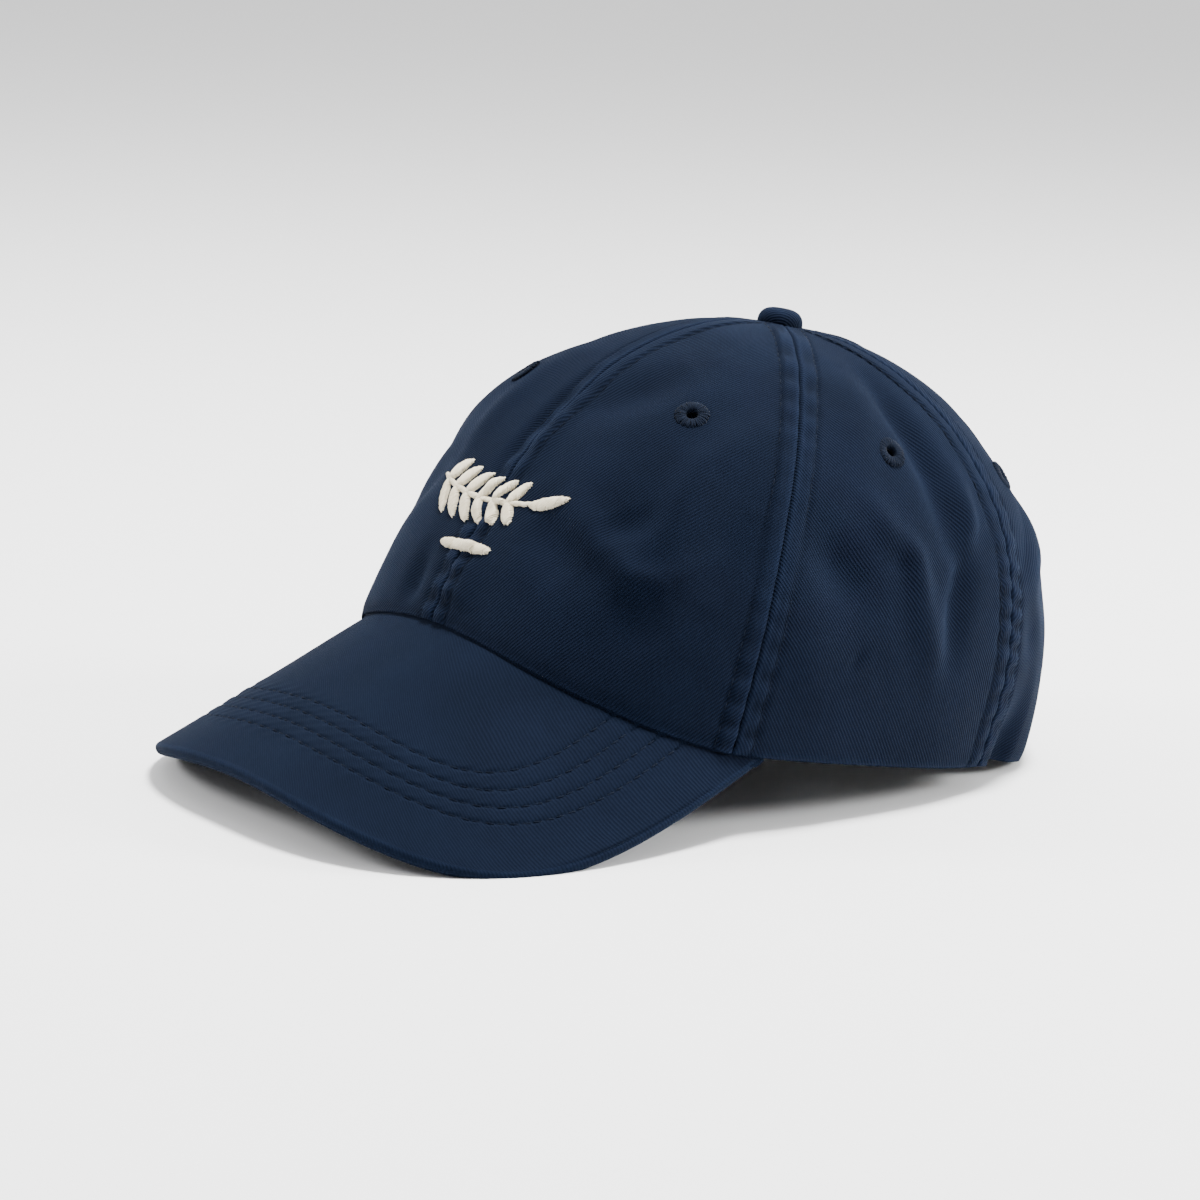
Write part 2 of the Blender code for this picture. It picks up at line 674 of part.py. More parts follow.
def add_raised_patch(name, outline, centre_height, turn, bow, cap):
    angle, rise = on_front(outline, centre_height, turn, bow)
    proud = GAP + 0.1 * MM
    low = crown_point(angle, rise, -proud)
    high = crown_point(angle, rise, -proud - EMBROIDERY_LOFT)
    count = len(outline)
    faces = [list(range(count))[::-1], list(range(count, 2 * count))]
    for k in range(count):
        following = (k + 1) % count
        faces.append([k, following, following + count, k + count])
    mesh = mesh_from(name, np.concatenate([low, high]), faces)
    add_object(name, mesh, "cream_thread", cap, 80)


def add_motif(cap):
    sprig = sprig_outline(SPRIG_LENGTH, LEAF_LENGTH, SPRIG_PAIRS)
    add_raised_patch("motif_sprig", sprig, SPRIG_HEIGHT, SPRIG_TURN, SPRIG_BOW, cap)
    half_length, half_height = BAR_MOTIF_HALF
    bar = [(half_length * math.cos(a), half_height * math.sin(a)) for a in np.arange(16) * PI / 8]
    add_raised_patch("motif_bar", bar, BAR_MOTIF_HEIGHT, BAR_MOTIF_TURN, 0.0, cap)


# ---------------------------------------------------------------- strap and buckle

def arc_points(radius, start, end, count):
    """Points (x, y) on an arc about the closure's centre; start and end are lengths along the strap."""
    turns = np.linspace(start, end, count) / STRAP_RADIUS
    return [(radius * math.sin(a), radius * math.cos(a)) for a in turns]


def add_strap(closure):
    half = STRAP_THICKNESS / 2
    outer = arc_points(STRAP_RADIUS + half, *STRAP_ENDS, 33)
    inner = arc_points(STRAP_RADIUS - half, *STRAP_ENDS, 33)
    half_height = STRAP_HEIGHT / 2
    low, high = (np.array([[(x, y, z) for x, y in row] for row in (inner, outer)])
                 for z in (-half_height, half_height))
    rings = np.stack([low[0], low[1], high[1], high[0]], 1)
    add_object("strap", sweep_mesh("strap", rings), "navy_twill", closure, 50)


def thick_line(points, half):
    """Outline of a strip of even thickness that follows the points."""
    path = np.array(points)
    along = np.gradient(path, axis=0)
    along /= np.linalg.norm(along, axis=1, keepdims=True)
    side = np.stack([-along[:, 1], along[:, 0]], -1) * half
    return [tuple(p) for p in path + side] + [tuple(p) for p in (path - side)[::-1]]


def add_strap_tab(closure):
    """Short tab, sewn inside the left back panel, that loops round the buckle's end bar."""
    turn = BUCKLE_OFFSET / STRAP_RADIUS
    loop = BAR_CLEARANCE + TAB_THICKNESS / 2

    def from_buckle(along, out):
        x, y = along, STRAP_RADIUS + out
        return (x * math.cos(turn) + y * math.sin(turn), y * math.cos(turn) - x * math.sin(turn))

    path = arc_points(TAB_RADIUS, 51 * MM, 29 * MM, 11)
    for a in np.radians(np.linspace(75, 265, 9)):
        path.append(from_buckle(BAR_ALONG + loop * math.cos(a), BAR_OUT + loop * math.sin(a)))
    path.append(from_buckle(BAR_ALONG + 2.2 * MM, BAR_OUT - loop - 0.25 * MM))
    path.append(from_buckle(BAR_ALONG + 4.4 * MM, BAR_OUT - loop - 0.75 * MM))
    half_height = STRAP_HEIGHT / 2 - GAP
    mesh = prism_mesh("strap_tab", thick_line(path, TAB_THICKNESS / 2), -half_height, half_height)
    add_object("strap_tab", mesh, "navy_twill", closure, 50)


def add_buckle(buckle):
    """Stamped frame, hinge pin and hinged lever. X runs along the strap and Y outwards."""
    base = [(-10.5 * MM, -2.6 * MM), (11 * MM, -2.6 * MM), (11 * MM, -1.8 * MM), (-10.5 * MM, -1.8 * MM)]
    overlap = 0.2 * MM
    frame = add_object("buckle_frame", prism_mesh("buckle_frame", base, -CHEEK_INNER - overlap,
                                                  CHEEK_INNER + overlap), "brass", buckle)
    cheek = [(x * MM, y * MM) for x, y in CHEEK_OUTLINE]
    ends = ((CHEEK_INNER, CHEEK_INNER + SHEET_METAL), (-CHEEK_INNER - SHEET_METAL, -CHEEK_INNER))
    for low, high in ends:
        cut(frame, prism_mesh("cheek", cheek, low, high), Matrix(), "UNION")
    bar = cylinder_mesh("end_bar", BAR_RADIUS, -CHEEK_INNER - overlap, CHEEK_INNER + overlap, 12)
    cut(frame, bar, Matrix.Translation((BAR_ALONG, BAR_OUT, 0)), "UNION")
    at_pin = Matrix.Translation((PIN_ALONG, PIN_OUT, 0))
    beyond = CHEEK_INNER + SHEET_METAL + 1 * MM
    for low, high in ((CHEEK_INNER - 1 * MM, beyond), (-beyond, 1 * MM - CHEEK_INNER)):
        cut(frame, cylinder_mesh("pin_hole", PIN_RADIUS + GAP, low, high, 16), at_pin)

    pin_half = CHEEK_INNER + SHEET_METAL + 0.4 * MM
    pin = add_object("buckle_pin", cylinder_mesh("buckle_pin", PIN_RADIUS, -pin_half, pin_half, 16),
                     "steel", buckle)
    pin.location = (PIN_ALONG, PIN_OUT, 0)

    lever = add_object("buckle_lever", lever_mesh(), "brass", buckle)
    lever.location = (PIN_ALONG, PIN_OUT, 0)
    bore = cylinder_mesh("lever_bore", PIN_RADIUS + GAP, -STRAP_HEIGHT, STRAP_HEIGHT, 16)
    cut(lever, bore, at_pin)


def lever_mesh():
    """Side view about the pin: knuckle, flat plate and an upturned tip to lift it by."""
    turns = np.radians(np.arange(60, 331, 22.5))
    outline = [(LEVER_KNUCKLE * math.cos(a), LEVER_KNUCKLE * math.sin(a)) for a in turns]
    reach = LEVER_TIP - PIN_ALONG
    outline += [(reach - 4 * MM, -0.83 * MM), (reach - 1.5 * MM, -0.5 * MM), (reach, 0.6 * MM),
                (reach - 0.6 * MM, 1.2 * MM), (reach - 2 * MM, 0.35 * MM), (reach - 4 * MM, 0.0)]
    outline.append((2.6 * MM, 0.0))
    half_height = CHEEK_INNER - 0.7 * MM
    return prism_mesh("buckle_lever", outline, -half_height, half_height)


# ---------------------------------------------------------------- the whole cap

def centre_on_origin(cap):
    """Slides the cap so that the origin is under the middle of its bounding box."""
    bpy.context.view_layer.update()
    lows, highs = [], []
    for item in bpy.data.objects:
        if item.type != "MESH" or item.hide_render:
            continue
        corners = np.array([item.matrix_world @ vertex.co for vertex in item.data.vertices])
        lows.append(corners.min(0))
        highs.append(corners.max(0))
    middle = (np.min(lows, 0) + np.max(highs, 0)) / 2
    cap.location.x -= middle[0]
    cap.location.y -= middle[1]
    bpy.context.view_layer.update()


def build():
    clear_scene()
    cap = add_empty("cap", (0, 0, REST_Y * math.sin(PITCH)), (-PITCH, 0, 0))
    add_crown(cap)
    tapes = {"front": 0, "front_left": SIDE_SEAM, "front_right": -SIDE_SEAM,
             "back_left": BACK_SEAM, "back_right": -BACK_SEAM, "back": PI}
    for place, angle in tapes.items():
        add_tape(f"seam_tape_{place}", angle, cap)
    add_sweatband(cap)
    add_care_label(cap)
    add_arch_binding(cap)
    add_button(cap)
    add_peak(cap)
    add_peak_stitching(cap)
    add_motif(cap)
    closure = add_empty("closure", (0, CLOSURE_CENTRE_Y, CLOSURE_HEIGHT), (-CLOSURE_LEAN, 0, 0), cap)
    add_strap(closure)
    add_strap_tab(closure)
    turn = BUCKLE_OFFSET / STRAP_RADIUS
    place = (STRAP_RADIUS * math.sin(turn), STRAP_RADIUS * math.cos(turn), 0)
    add_buckle(add_empty("buckle", place, (0, 0, -turn), closure))
    centre_on_origin(cap)


build()
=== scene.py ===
import math
import random

import bmesh
import bpy
import numpy as np
from mathutils import Matrix, Vector, noise


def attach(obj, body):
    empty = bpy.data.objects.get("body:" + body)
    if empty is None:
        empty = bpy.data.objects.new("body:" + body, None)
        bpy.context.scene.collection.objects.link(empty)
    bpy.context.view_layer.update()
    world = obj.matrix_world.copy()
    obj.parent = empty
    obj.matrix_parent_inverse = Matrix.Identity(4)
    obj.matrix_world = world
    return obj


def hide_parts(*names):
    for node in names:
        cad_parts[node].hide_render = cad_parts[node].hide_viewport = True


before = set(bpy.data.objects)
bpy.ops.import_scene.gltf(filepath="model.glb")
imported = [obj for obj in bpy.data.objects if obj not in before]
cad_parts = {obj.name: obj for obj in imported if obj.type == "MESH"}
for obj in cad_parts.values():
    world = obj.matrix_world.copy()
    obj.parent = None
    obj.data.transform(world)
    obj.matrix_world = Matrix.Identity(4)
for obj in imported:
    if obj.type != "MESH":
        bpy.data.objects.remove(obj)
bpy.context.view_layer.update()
random.seed(7)
print("frame loaded:", len(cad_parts), "nodes")

mm = 0.001
pi = math.pi


# shader maths: a socket that can be added, multiplied and so on

class Wire:
    def __init__(self, graph, socket):
        self.graph = graph
        self.socket = socket

    def maths(self, operation, other=0.0, flipped=False):
        first, second = (other, self) if flipped else (self, other)
        return self.graph.node("ShaderNodeMath", {"operation": operation}, {0: first, 1: second})

    def __add__(self, other):
        return self.maths("ADD", other)

    def __sub__(self, other):
        return self.maths("SUBTRACT", other)

    def __rsub__(self, other):
        return self.maths("SUBTRACT", other, True)

    def __mul__(self, other):
        return self.maths("MULTIPLY", other)

    def __truediv__(self, other):
        return self.maths("DIVIDE", other)

    __radd__ = __add__
    __rmul__ = __mul__

    def sine(self):
        return self.maths("SINE")

    def clamped(self):
        return self.graph.node("ShaderNodeClamp", {}, {"Value": self})


class Graph:
    def __init__(self, owner, **fixed):  # a material or the world; fixed gives the shader's even values
        self.material = owner
        owner.use_nodes = True
        self.tree = owner.node_tree
        self.shader = self.tree.nodes.get("Principled BSDF") or self.tree.nodes["Background"]
        for name, value in fixed.items():
            self.plug(name.replace("_", " "), value)

    def node(self, kind, settings, sockets, output=0):
        made = self.tree.nodes.new(kind)
        for key, value in settings.items():
            if key == "stops":  # ramp stops as (place, colour)
                ramp = made.color_ramp
                while len(ramp.elements) < len(value):
                    ramp.elements.new(0.5)
                for element, (place, colour) in zip(ramp.elements, value):
                    element.position = place
                    element.color = (*colour, 1)
            else:
                setattr(made, key, value)
        for key, value in sockets.items():
            self.join(made.inputs[key], value)
        return Wire(self, made.outputs[output])

    def join(self, socket, value):
        if isinstance(value, Wire):
            self.tree.links.new(value.socket, socket)
        else:
            socket.default_value = value

    def plug(self, name, value):
        self.join(self.shader.inputs[name], value)

    def mix(self, factor, first, second):
        return self.node("ShaderNodeMix", {"data_type": "RGBA"}, {0: factor, 6: (*first, 1), 7: (*second, 1)}, 2)

    def speckle(self, scale, detail=2.0, roughness=0.5):
        place = self.node("ShaderNodeTexCoord", {}, {}, "Object")
        return self.node("ShaderNodeTexNoise", {}, {"Vector": place, "Scale": scale, "Detail": detail,
                                                    "Roughness": roughness})

    def clothPlace(self):  # across and along the cloth
        flat = self.node("ShaderNodeUVMap", {"uv_map": "cloth"}, {})
        across = self.node("ShaderNodeSeparateXYZ", {}, {0: flat})
        return across, Wire(self, across.socket.node.outputs[1])

    def bump(self, height, strength, distance, before=None):
        sockets = {"Height": height, "Strength": strength, "Distance": distance}
        if before:
            sockets["Normal"] = before
        return self.node("ShaderNodeBump", {}, sockets)


# cloth, thread and metal

# pitch and relief of the ribs are in mm; the slope's sign sets which way they lean
# contrast sets how far painted shade darkens the ribs' grooves and painted light brightens their crests
twill = {"dark": (0.0005, 0.0016, 0.0048), "light": (0.0040, 0.0080, 0.0206), "pitch": 0.88, "slope": -1.25,
         "relief": 0.20, "contrast": 0.58, "sheen": 0.035}
clothLook = {
    "crown": twill,
    "crownSide": {**twill, "slope": 1.1},
    "peak": {"dark": (0.0010, 0.0027, 0.0074), "light": (0.0043, 0.0086, 0.0218), "pitch": 0.60, "slope": 0.8,
             "relief": 0.09, "contrast": 0.34, "sheen": 0.03},
    "lining": {"dark": (0.0024, 0.0047, 0.0115), "light": (0.0092, 0.0150, 0.0330), "pitch": 0.55, "slope": 1.0,
               "relief": 0.08, "contrast": 0.45, "sheen": 0.05},
    "label": {"dark": (0.52, 0.52, 0.49), "light": (0.80, 0.80, 0.77), "pitch": 0.40, "slope": 0.0,
              "relief": 0.05, "contrast": 0.35, "sheen": 0.10},
}


# diagonal ribs over crossing threads, with painted shade in the ribs' grooves and painted light on their crests,
# mottled dye, and paler cloth where it rubs, with painted shade in the seam puckers' dips
def clothMaterial(name, look):
    g = Graph(bpy.data.materials.new(name), Sheen_Weight=look["sheen"], Sheen_Roughness=0.35,
              Sheen_Tint=(0.3, 0.5, 1.0, 1), Specular_IOR_Level=0.05)
    across, along = g.clothPlace()
    drift = g.speckle(90, 2) * 0.0009
    turn = 2 * pi / (look["pitch"] * mm)
    size = math.hypot(1, look["slope"])
    ribs = ((across * look["slope"] + along + drift) * (turn / size)).sine() * 0.5 + 0.5
    threads = ((across - along * 0.15) * (turn * 1.7)).sine() * 0.5 + 0.5
    weave = ribs * 0.75 + threads * 0.25
    fleck = g.speckle(2600, 2, roughness=0.7)
    mottle = g.speckle(38, 4, roughness=0.6)
    wear = g.node("ShaderNodeAttribute", {"attribute_name": "wear"}, {}, "Fac")
    # worn pales the cloth where it rubs; where the attribute is negative, in the seam puckers' dips, it darkens the
    # cloth as painted shade
    worn = wear * (g.speckle(420, 3) + 0.25)
    # the ribs' share of the tone is painted shade in their grooves and painted light on their crests
    tone = (weave * look["contrast"] + fleck * 0.35 + mottle * 0.55 + worn * 0.5 - 0.28).clamped()
    g.plug("Base Color", g.mix(tone, look["dark"], look["light"]))
    g.plug("Roughness", (0.98 - weave * 0.12 - worn * 0.05).clamped())
    fuzz = g.bump(g.speckle(1500, 3, roughness=0.7), 0.25, 0.12 * mm)
    g.plug("Normal", g.bump(weave, 0.8, look["relief"] * mm, fuzz))
    return g.material


def threadMaterial(name, dark, light, roughness, sheen):
    g = Graph(bpy.data.materials.new(name), Sheen_Weight=sheen, Sheen_Roughness=0.35, Specular_IOR_Level=0.1)
    along, around = g.clothPlace()
    twist = (along * (2 * pi / (0.42 * mm)) + around * (2 * pi)).sine() * 0.5 + 0.5
    tone = (twist * 0.5 + g.speckle(700, 2) * 0.7 - 0.1).clamped()
    g.plug("Base Color", g.mix(tone, dark, light))
    g.plug("Roughness", roughness + twist * 0.15)
    g.plug("Normal", g.bump(twist, 0.6, 0.05 * mm))
    return g.material


def metalMaterial(name, deep, bright, roughness):
    g = Graph(bpy.data.materials.new(name), Metallic=1.0)
    wear = g.node("ShaderNodeAttribute", {"attribute_name": "wear"}, {}, "Fac")
    patina = g.speckle(240, 5, roughness=0.65)
    brushed = g.node("ShaderNodeTexNoise", {}, {
        "Vector": g.node("ShaderNodeMapping", {}, {"Vector": g.node("ShaderNodeTexCoord", {}, {}, "Object"),
                                                   "Scale": (300, 300, 4000)}), "Scale": 1.0, "Detail": 2.0})
    tone = (patina * 0.9 + wear * 0.6 + brushed * 0.25 - 0.3).clamped()
    g.plug("Base Color", g.mix(tone, deep, bright))
    g.plug("Roughness", (roughness + 0.22 - tone * 0.25 + brushed * 0.1).clamped())
    g.plug("Normal", g.bump(brushed, 0.15, 0.03 * mm, g.bump(patina, 0.1, 0.08 * mm)))
    return g.material


def boardMaterial():
    g = Graph(bpy.data.materials.new("peakBoardPlastic"))
    grain = g.speckle(900, 3)
    g.plug("Base Color", g.mix(grain, (0.60, 0.61, 0.59), (0.78, 0.79, 0.77)))
    g.plug("Roughness", grain * 0.2 + 0.35)
    g.plug("Normal", g.bump(grain, 0.3, 0.05 * mm))
    return g.material


finishes = {key: clothMaterial(key + "Cloth", look) for key, look in clothLook.items()}
finishes["thread"] = threadMaterial("navyThread", (0.0006, 0.0018, 0.0052), (0.0040, 0.0080, 0.0200), 0.85, 0.03)
finishes["cream"] = threadMaterial("creamThread", (0.56, 0.48, 0.33), (0.90, 0.84, 0.68), 0.42, 0.1)
finishes["brass"] = metalMaterial("antiqueBrass", (0.10, 0.072, 0.035), (0.50, 0.38, 0.20), 0.34)
finishes["steel"] = metalMaterial("plainSteel", (0.28, 0.28, 0.28), (0.62, 0.62, 0.61), 0.30)
finishes["board"] = boardMaterial()
print("materials made:", len(finishes))


# meshes from grids of points

def toWorld(points):  # from the cap's own frame, rim plane at z = 0, to where it stands
    c, s = math.cos(pitch), math.sin(pitch)
    x, y, z = np.moveaxis(np.asarray(points, float), -1, 0)
    return np.stack([x, c * y + s * z, c * z - s * y], -1) + crown["place"]


def unit(vectors):
    return vectors / np.linalg.norm(vectors, axis=-1, keepdims=True)


def runAlong(path):  # length from the start of a line to each of its points
    return np.concatenate([[0], np.linalg.norm(np.diff(path, axis=0), axis=1).cumsum()])


def paired(across, along):
    return np.stack(np.broadcast_arrays(across, along), -1)


def rolledIn(edge, roll):  # how far a rounded edge has fallen away, by distance from it
    return roll - np.sqrt(np.clip(roll ** 2 - np.clip(roll - edge, 0, roll) ** 2, 0, None))


def inScene(name, data):
    made = bpy.data.objects.new(name, data)
    bpy.context.scene.collection.objects.link(made)
    return made


def addPiece(name, points, faces, finish, body="cap", replaces=(), uv=None, wear=None, world=False):
    points = np.asarray(points, float).reshape(-1, 3)
    mesh = bpy.data.meshes.new(name)
    mesh.from_pydata((points if world else toWorld(points)).tolist(), [], faces)
    work = bmesh.new()
    work.from_mesh(mesh)
    bmesh.ops.recalc_face_normals(work, faces=work.faces)
    work.to_mesh(mesh)
    work.free()
    layer = mesh.uv_layers.new(name="cloth")
    corners = np.empty(len(mesh.loops), dtype=np.int32)
    mesh.loops.foreach_get("vertex_index", corners)
    places = np.asarray(uv, float).reshape(-1, 2) if uv is not None else points[:, :2]
    layer.data.foreach_set("uv", places[corners].ravel())
    rub = mesh.attributes.new("wear", "FLOAT", "POINT")
    rub.data.foreach_set("value", np.zeros(len(points)) if wear is None else np.asarray(wear, float).ravel())
    mesh.shade_smooth()
    mesh.materials.append(finishes[finish])
    made = inScene(name, mesh)
    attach(made, body)
    for node in replaces:
        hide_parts(node)
    return made


def shellFaces(rows, columns):
    index = np.arange(rows * columns).reshape(rows, columns)
    quads = np.stack([index[:-1, :-1], index[:-1, 1:], index[1:, 1:], index[1:, :-1]], -1).reshape(-1, 4)
    below = rows * columns
    border = np.concatenate([index[0], index[1:, -1], index[-1, -2::-1], index[-2:0:-1, 0]])
    following = np.roll(border, -1)
    sides = np.stack([border, border + below, following + below, following], -1)
    return np.concatenate([quads, quads[:, ::-1] + below, sides]).tolist()


def tubeFaces(rows, sides, first=0):  # walls round a run of rings, and a cap at each end
    index = first + np.arange(rows * sides).reshape(rows, sides)
    wrapped = np.roll(index, -1, axis=1)
    quads = np.stack([index[:-1], wrapped[:-1], wrapped[1:], index[1:]], -1).reshape(-1, 4)
    return quads.tolist() + [index[0, ::-1].tolist(), index[-1].tolist()]


def shellPiece(name, outer, inner, finish, uv=None, wear=None, **more):
    rows, columns = outer.shape[:2]
    points = np.concatenate([outer.reshape(-1, 3), inner.reshape(-1, 3)])
    if uv is None:
        down = np.linalg.norm(np.diff(outer, axis=0, prepend=outer[:1]), axis=-1).cumsum(0)
        over = np.linalg.norm(np.diff(outer, axis=1, prepend=outer[:, :1]), axis=-1).cumsum(1)
        uv = paired(over, down)
    uv = np.concatenate([uv.reshape(-1, 2)] * 2)
    if wear is not None:
        wear = np.concatenate([wear.ravel(), wear.ravel()])
    return addPiece(name, points, shellFaces(rows, columns), finish, uv=uv, wear=wear, **more)


def closedPiece(piece):  # joins the first and last columns of a turned grid
    work = bmesh.new()
    work.from_mesh(piece.data)
    bmesh.ops.remove_doubles(work, verts=work.verts, dist=0.01 * mm)
    walls = [face for face in work.faces if sum(len(edge.link_faces) > 2 for edge in face.edges) > 1]
    bmesh.ops.delete(work, geom=walls, context="FACES_ONLY")
    work.to_mesh(piece.data)
    work.free()


stitchLean = 0.12 * mm


class Threads:  # gathers many short tubes into one piece
    def __init__(self):
        self.points = []
        self.faces = []
        self.uv = []
        self.count = 0

    def tube(self, path, ups, radii, sides=6):
        path = np.asarray(path, float)
        ups = np.broadcast_to(np.asarray(ups, float), path.shape)
        along = np.gradient(path, axis=0)
        along /= np.linalg.norm(along, axis=1, keepdims=True) + 1e-12
        across = np.cross(along, ups)
        across /= np.linalg.norm(across, axis=1, keepdims=True) + 1e-12
        lift = np.cross(across, along)
        turns = np.arange(sides) * 2 * pi / sides
        ring = across[:, None] * np.cos(turns)[:, None] + lift[:, None] * np.sin(turns)[:, None]
        radii = np.broadcast_to(np.asarray(radii, float), len(path))
        self.points.append((path[:, None] + ring * radii[:, None, None]).reshape(-1, 3))
        self.uv.append(paired(np.repeat(runAlong(path), sides), np.tile(turns / (2 * pi), len(path))))
        self.faces += tubeFaces(len(path), sides, self.count)
        self.count += len(path) * sides

    # a row of stitches: each one dives into the cloth at both ends
    def stitches(self, path, ups, look):
        run = runAlong(path)
        step = look["dash"] + look["gap"]
        shape = np.array([-1, -0.85, -0.4, 0.4, 0.85, 1])
        sunk = np.array([-1.6, -0.2, 0.35, 0.35, -0.2, -1.6]) * look["radius"] * mm
        thick = np.array([0.55, 0.9, 1, 1, 0.9, 0.55]) * look["radius"] * mm
        for k in range(int(run[-1] / (step * mm))):
            centre = (k + 0.5) * step * mm
            places = centre + shape * look["dash"] * mm / 2
            bit = np.stack([np.interp(places, run, path[:, axis]) for axis in range(3)], -1)
            up = np.stack([np.interp(places, run, ups[:, axis]) for axis in range(3)], -1)
            sway = np.cross(bit[-1] - bit[0], up[0])
            sway /= np.linalg.norm(sway) + 1e-12
            lean = stitchLean * np.linspace(-1, 1, 6)[:, None]
            self.tube(bit + up * sunk[:, None] + sway * lean, up, thick)

    def piece(self, name, finish, **more):
        addPiece(name, np.concatenate(self.points), self.faces, finish, uv=np.concatenate(self.uv), **more)


# crown form

crown = {
    "halfWidth": 79.3 * mm, "front": 95.3 * mm, "back": 107.9 * mm, "squareness": 2.55,
    "height": 114.5 * mm, "setback": 14.2 * mm,
    "spread": (2.21, 1.95, 2.17), "rise": (2.54, 2.27, 1.80), "bulge": (-0.039, 0.024, 0.018),
    "sideSeam": 63, "backSeam": 128, "topHole": 1.8 * mm, "thickness": 1.0 * mm,
    "pitch": 9.7, "restY": 95 * mm, "place": (0, 17.042 * mm, 16.006 * mm),
}
arch = {"halfAngle": math.radians(19.5), "height": 45 * mm, "squareness": 2.6,
        "bindingWidth": 5 * mm, "bindingThickness": 0.5 * mm, "bindingGap": 0.45 * mm}
peak = {
    "length": 73 * mm, "halfSeam": math.radians(70), "seamRise": 19 * mm, "seamPower": 0.97,
    "corner": (8.0, 3.0), "droop": (math.radians(37.2), math.radians(27)), "splay": math.radians(12),
    "twist": math.radians(0.7),
    "taper": 78 * mm, "cover": 0.7 * mm, "depth": 3.9 * mm, "edgeRound": 1.7 * mm, "seamGap": 0.5 * mm,
    "rows": 4, "firstRow": 18 * mm, "rowSpacing": 4.8 * mm,
}
pitch = math.radians(crown["pitch"])
seams = [math.radians(a) for a in (0, crown["sideSeam"], -crown["sideSeam"],
                                   crown["backSeam"], -crown["backSeam"], 180)]


def smooth(low, high, value):
    share = np.clip((value - low) / (high - low), 0, 1)
    return share * share * (3 - 2 * share)


def byDirection(angle, values):  # front, side and back values mixed by where the angle points
    front = np.clip(np.cos(angle), 0, 1) ** 2
    back = np.clip(-np.cos(angle), 0, 1) ** 2
    return front * values[0] + (1 - front - back) * values[1] + back * values[2]


def rimRadius(angle):
    n = crown["squareness"]
    along = np.where(np.cos(angle) > 0, crown["front"], crown["back"])
    return (np.abs(np.sin(angle) / crown["halfWidth"]) ** n + np.abs(np.cos(angle) / along) ** n) ** (-1 / n)


def crownForm(angle, rise):
    shrink = (np.cos(rise) ** (2 / byDirection(angle, crown["spread"]))
              * (1 + 2 * byDirection(angle, crown["bulge"]) * np.sin(2 * rise)))
    height = crown["height"] * np.sin(rise) ** (2 / byDirection(angle, crown["rise"]))
    radius = rimRadius(angle) * shrink
    back = crown["setback"] * height / crown["height"]
    return np.stack([radius * np.sin(angle), back - radius * np.cos(angle), height], -1)


def crownNormal(angle, rise):
    step, top = 0.01, pi / 2 - 0.001
    around = crownForm(angle + step, rise) - crownForm(angle - step, rise)
    upward = crownForm(angle, np.minimum(rise + step, top)) - crownForm(angle, np.maximum(rise - step, 0))
    return unit(np.cross(around, upward))


def fromAxis(points):  # distance from the crown's leaning middle line
    return np.hypot(points[..., 0], points[..., 1] - crown["setback"] * points[..., 2] / crown["height"])


def riseAt(angle, height):
    share = np.clip(height / crown["height"], 0, 1)
    return np.arcsin(share ** (byDirection(angle, crown["rise"]) / 2))


def riseNearTop(angle, radius):
    return np.arccos((radius / rimRadius(angle)) ** (byDirection(angle, crown["spread"]) / 2))


def peakSeamHeight(angle):
    share = np.clip(np.abs(angle) / peak["halfSeam"], 0, 1)
    return peak["seamRise"] * np.cos(share * pi / 2) ** (2 * peak["seamPower"])


def archHeight(angle):
    share = np.clip((pi - np.abs(angle)) / arch["halfAngle"], 0, 1)
    return arch["height"] * (1 - share ** arch["squareness"]) ** (1 / arch["squareness"])


def lowerEdge(angle):
    return np.maximum(peakSeamHeight(angle), archHeight(angle))


def restFlat(points):  # the rim and the peak's corners are pressed flat on the table
    table = (points[..., 1] - crown["restY"]) * math.tan(pitch)
    points[..., 2] = np.maximum(points[..., 2], table)
    return points


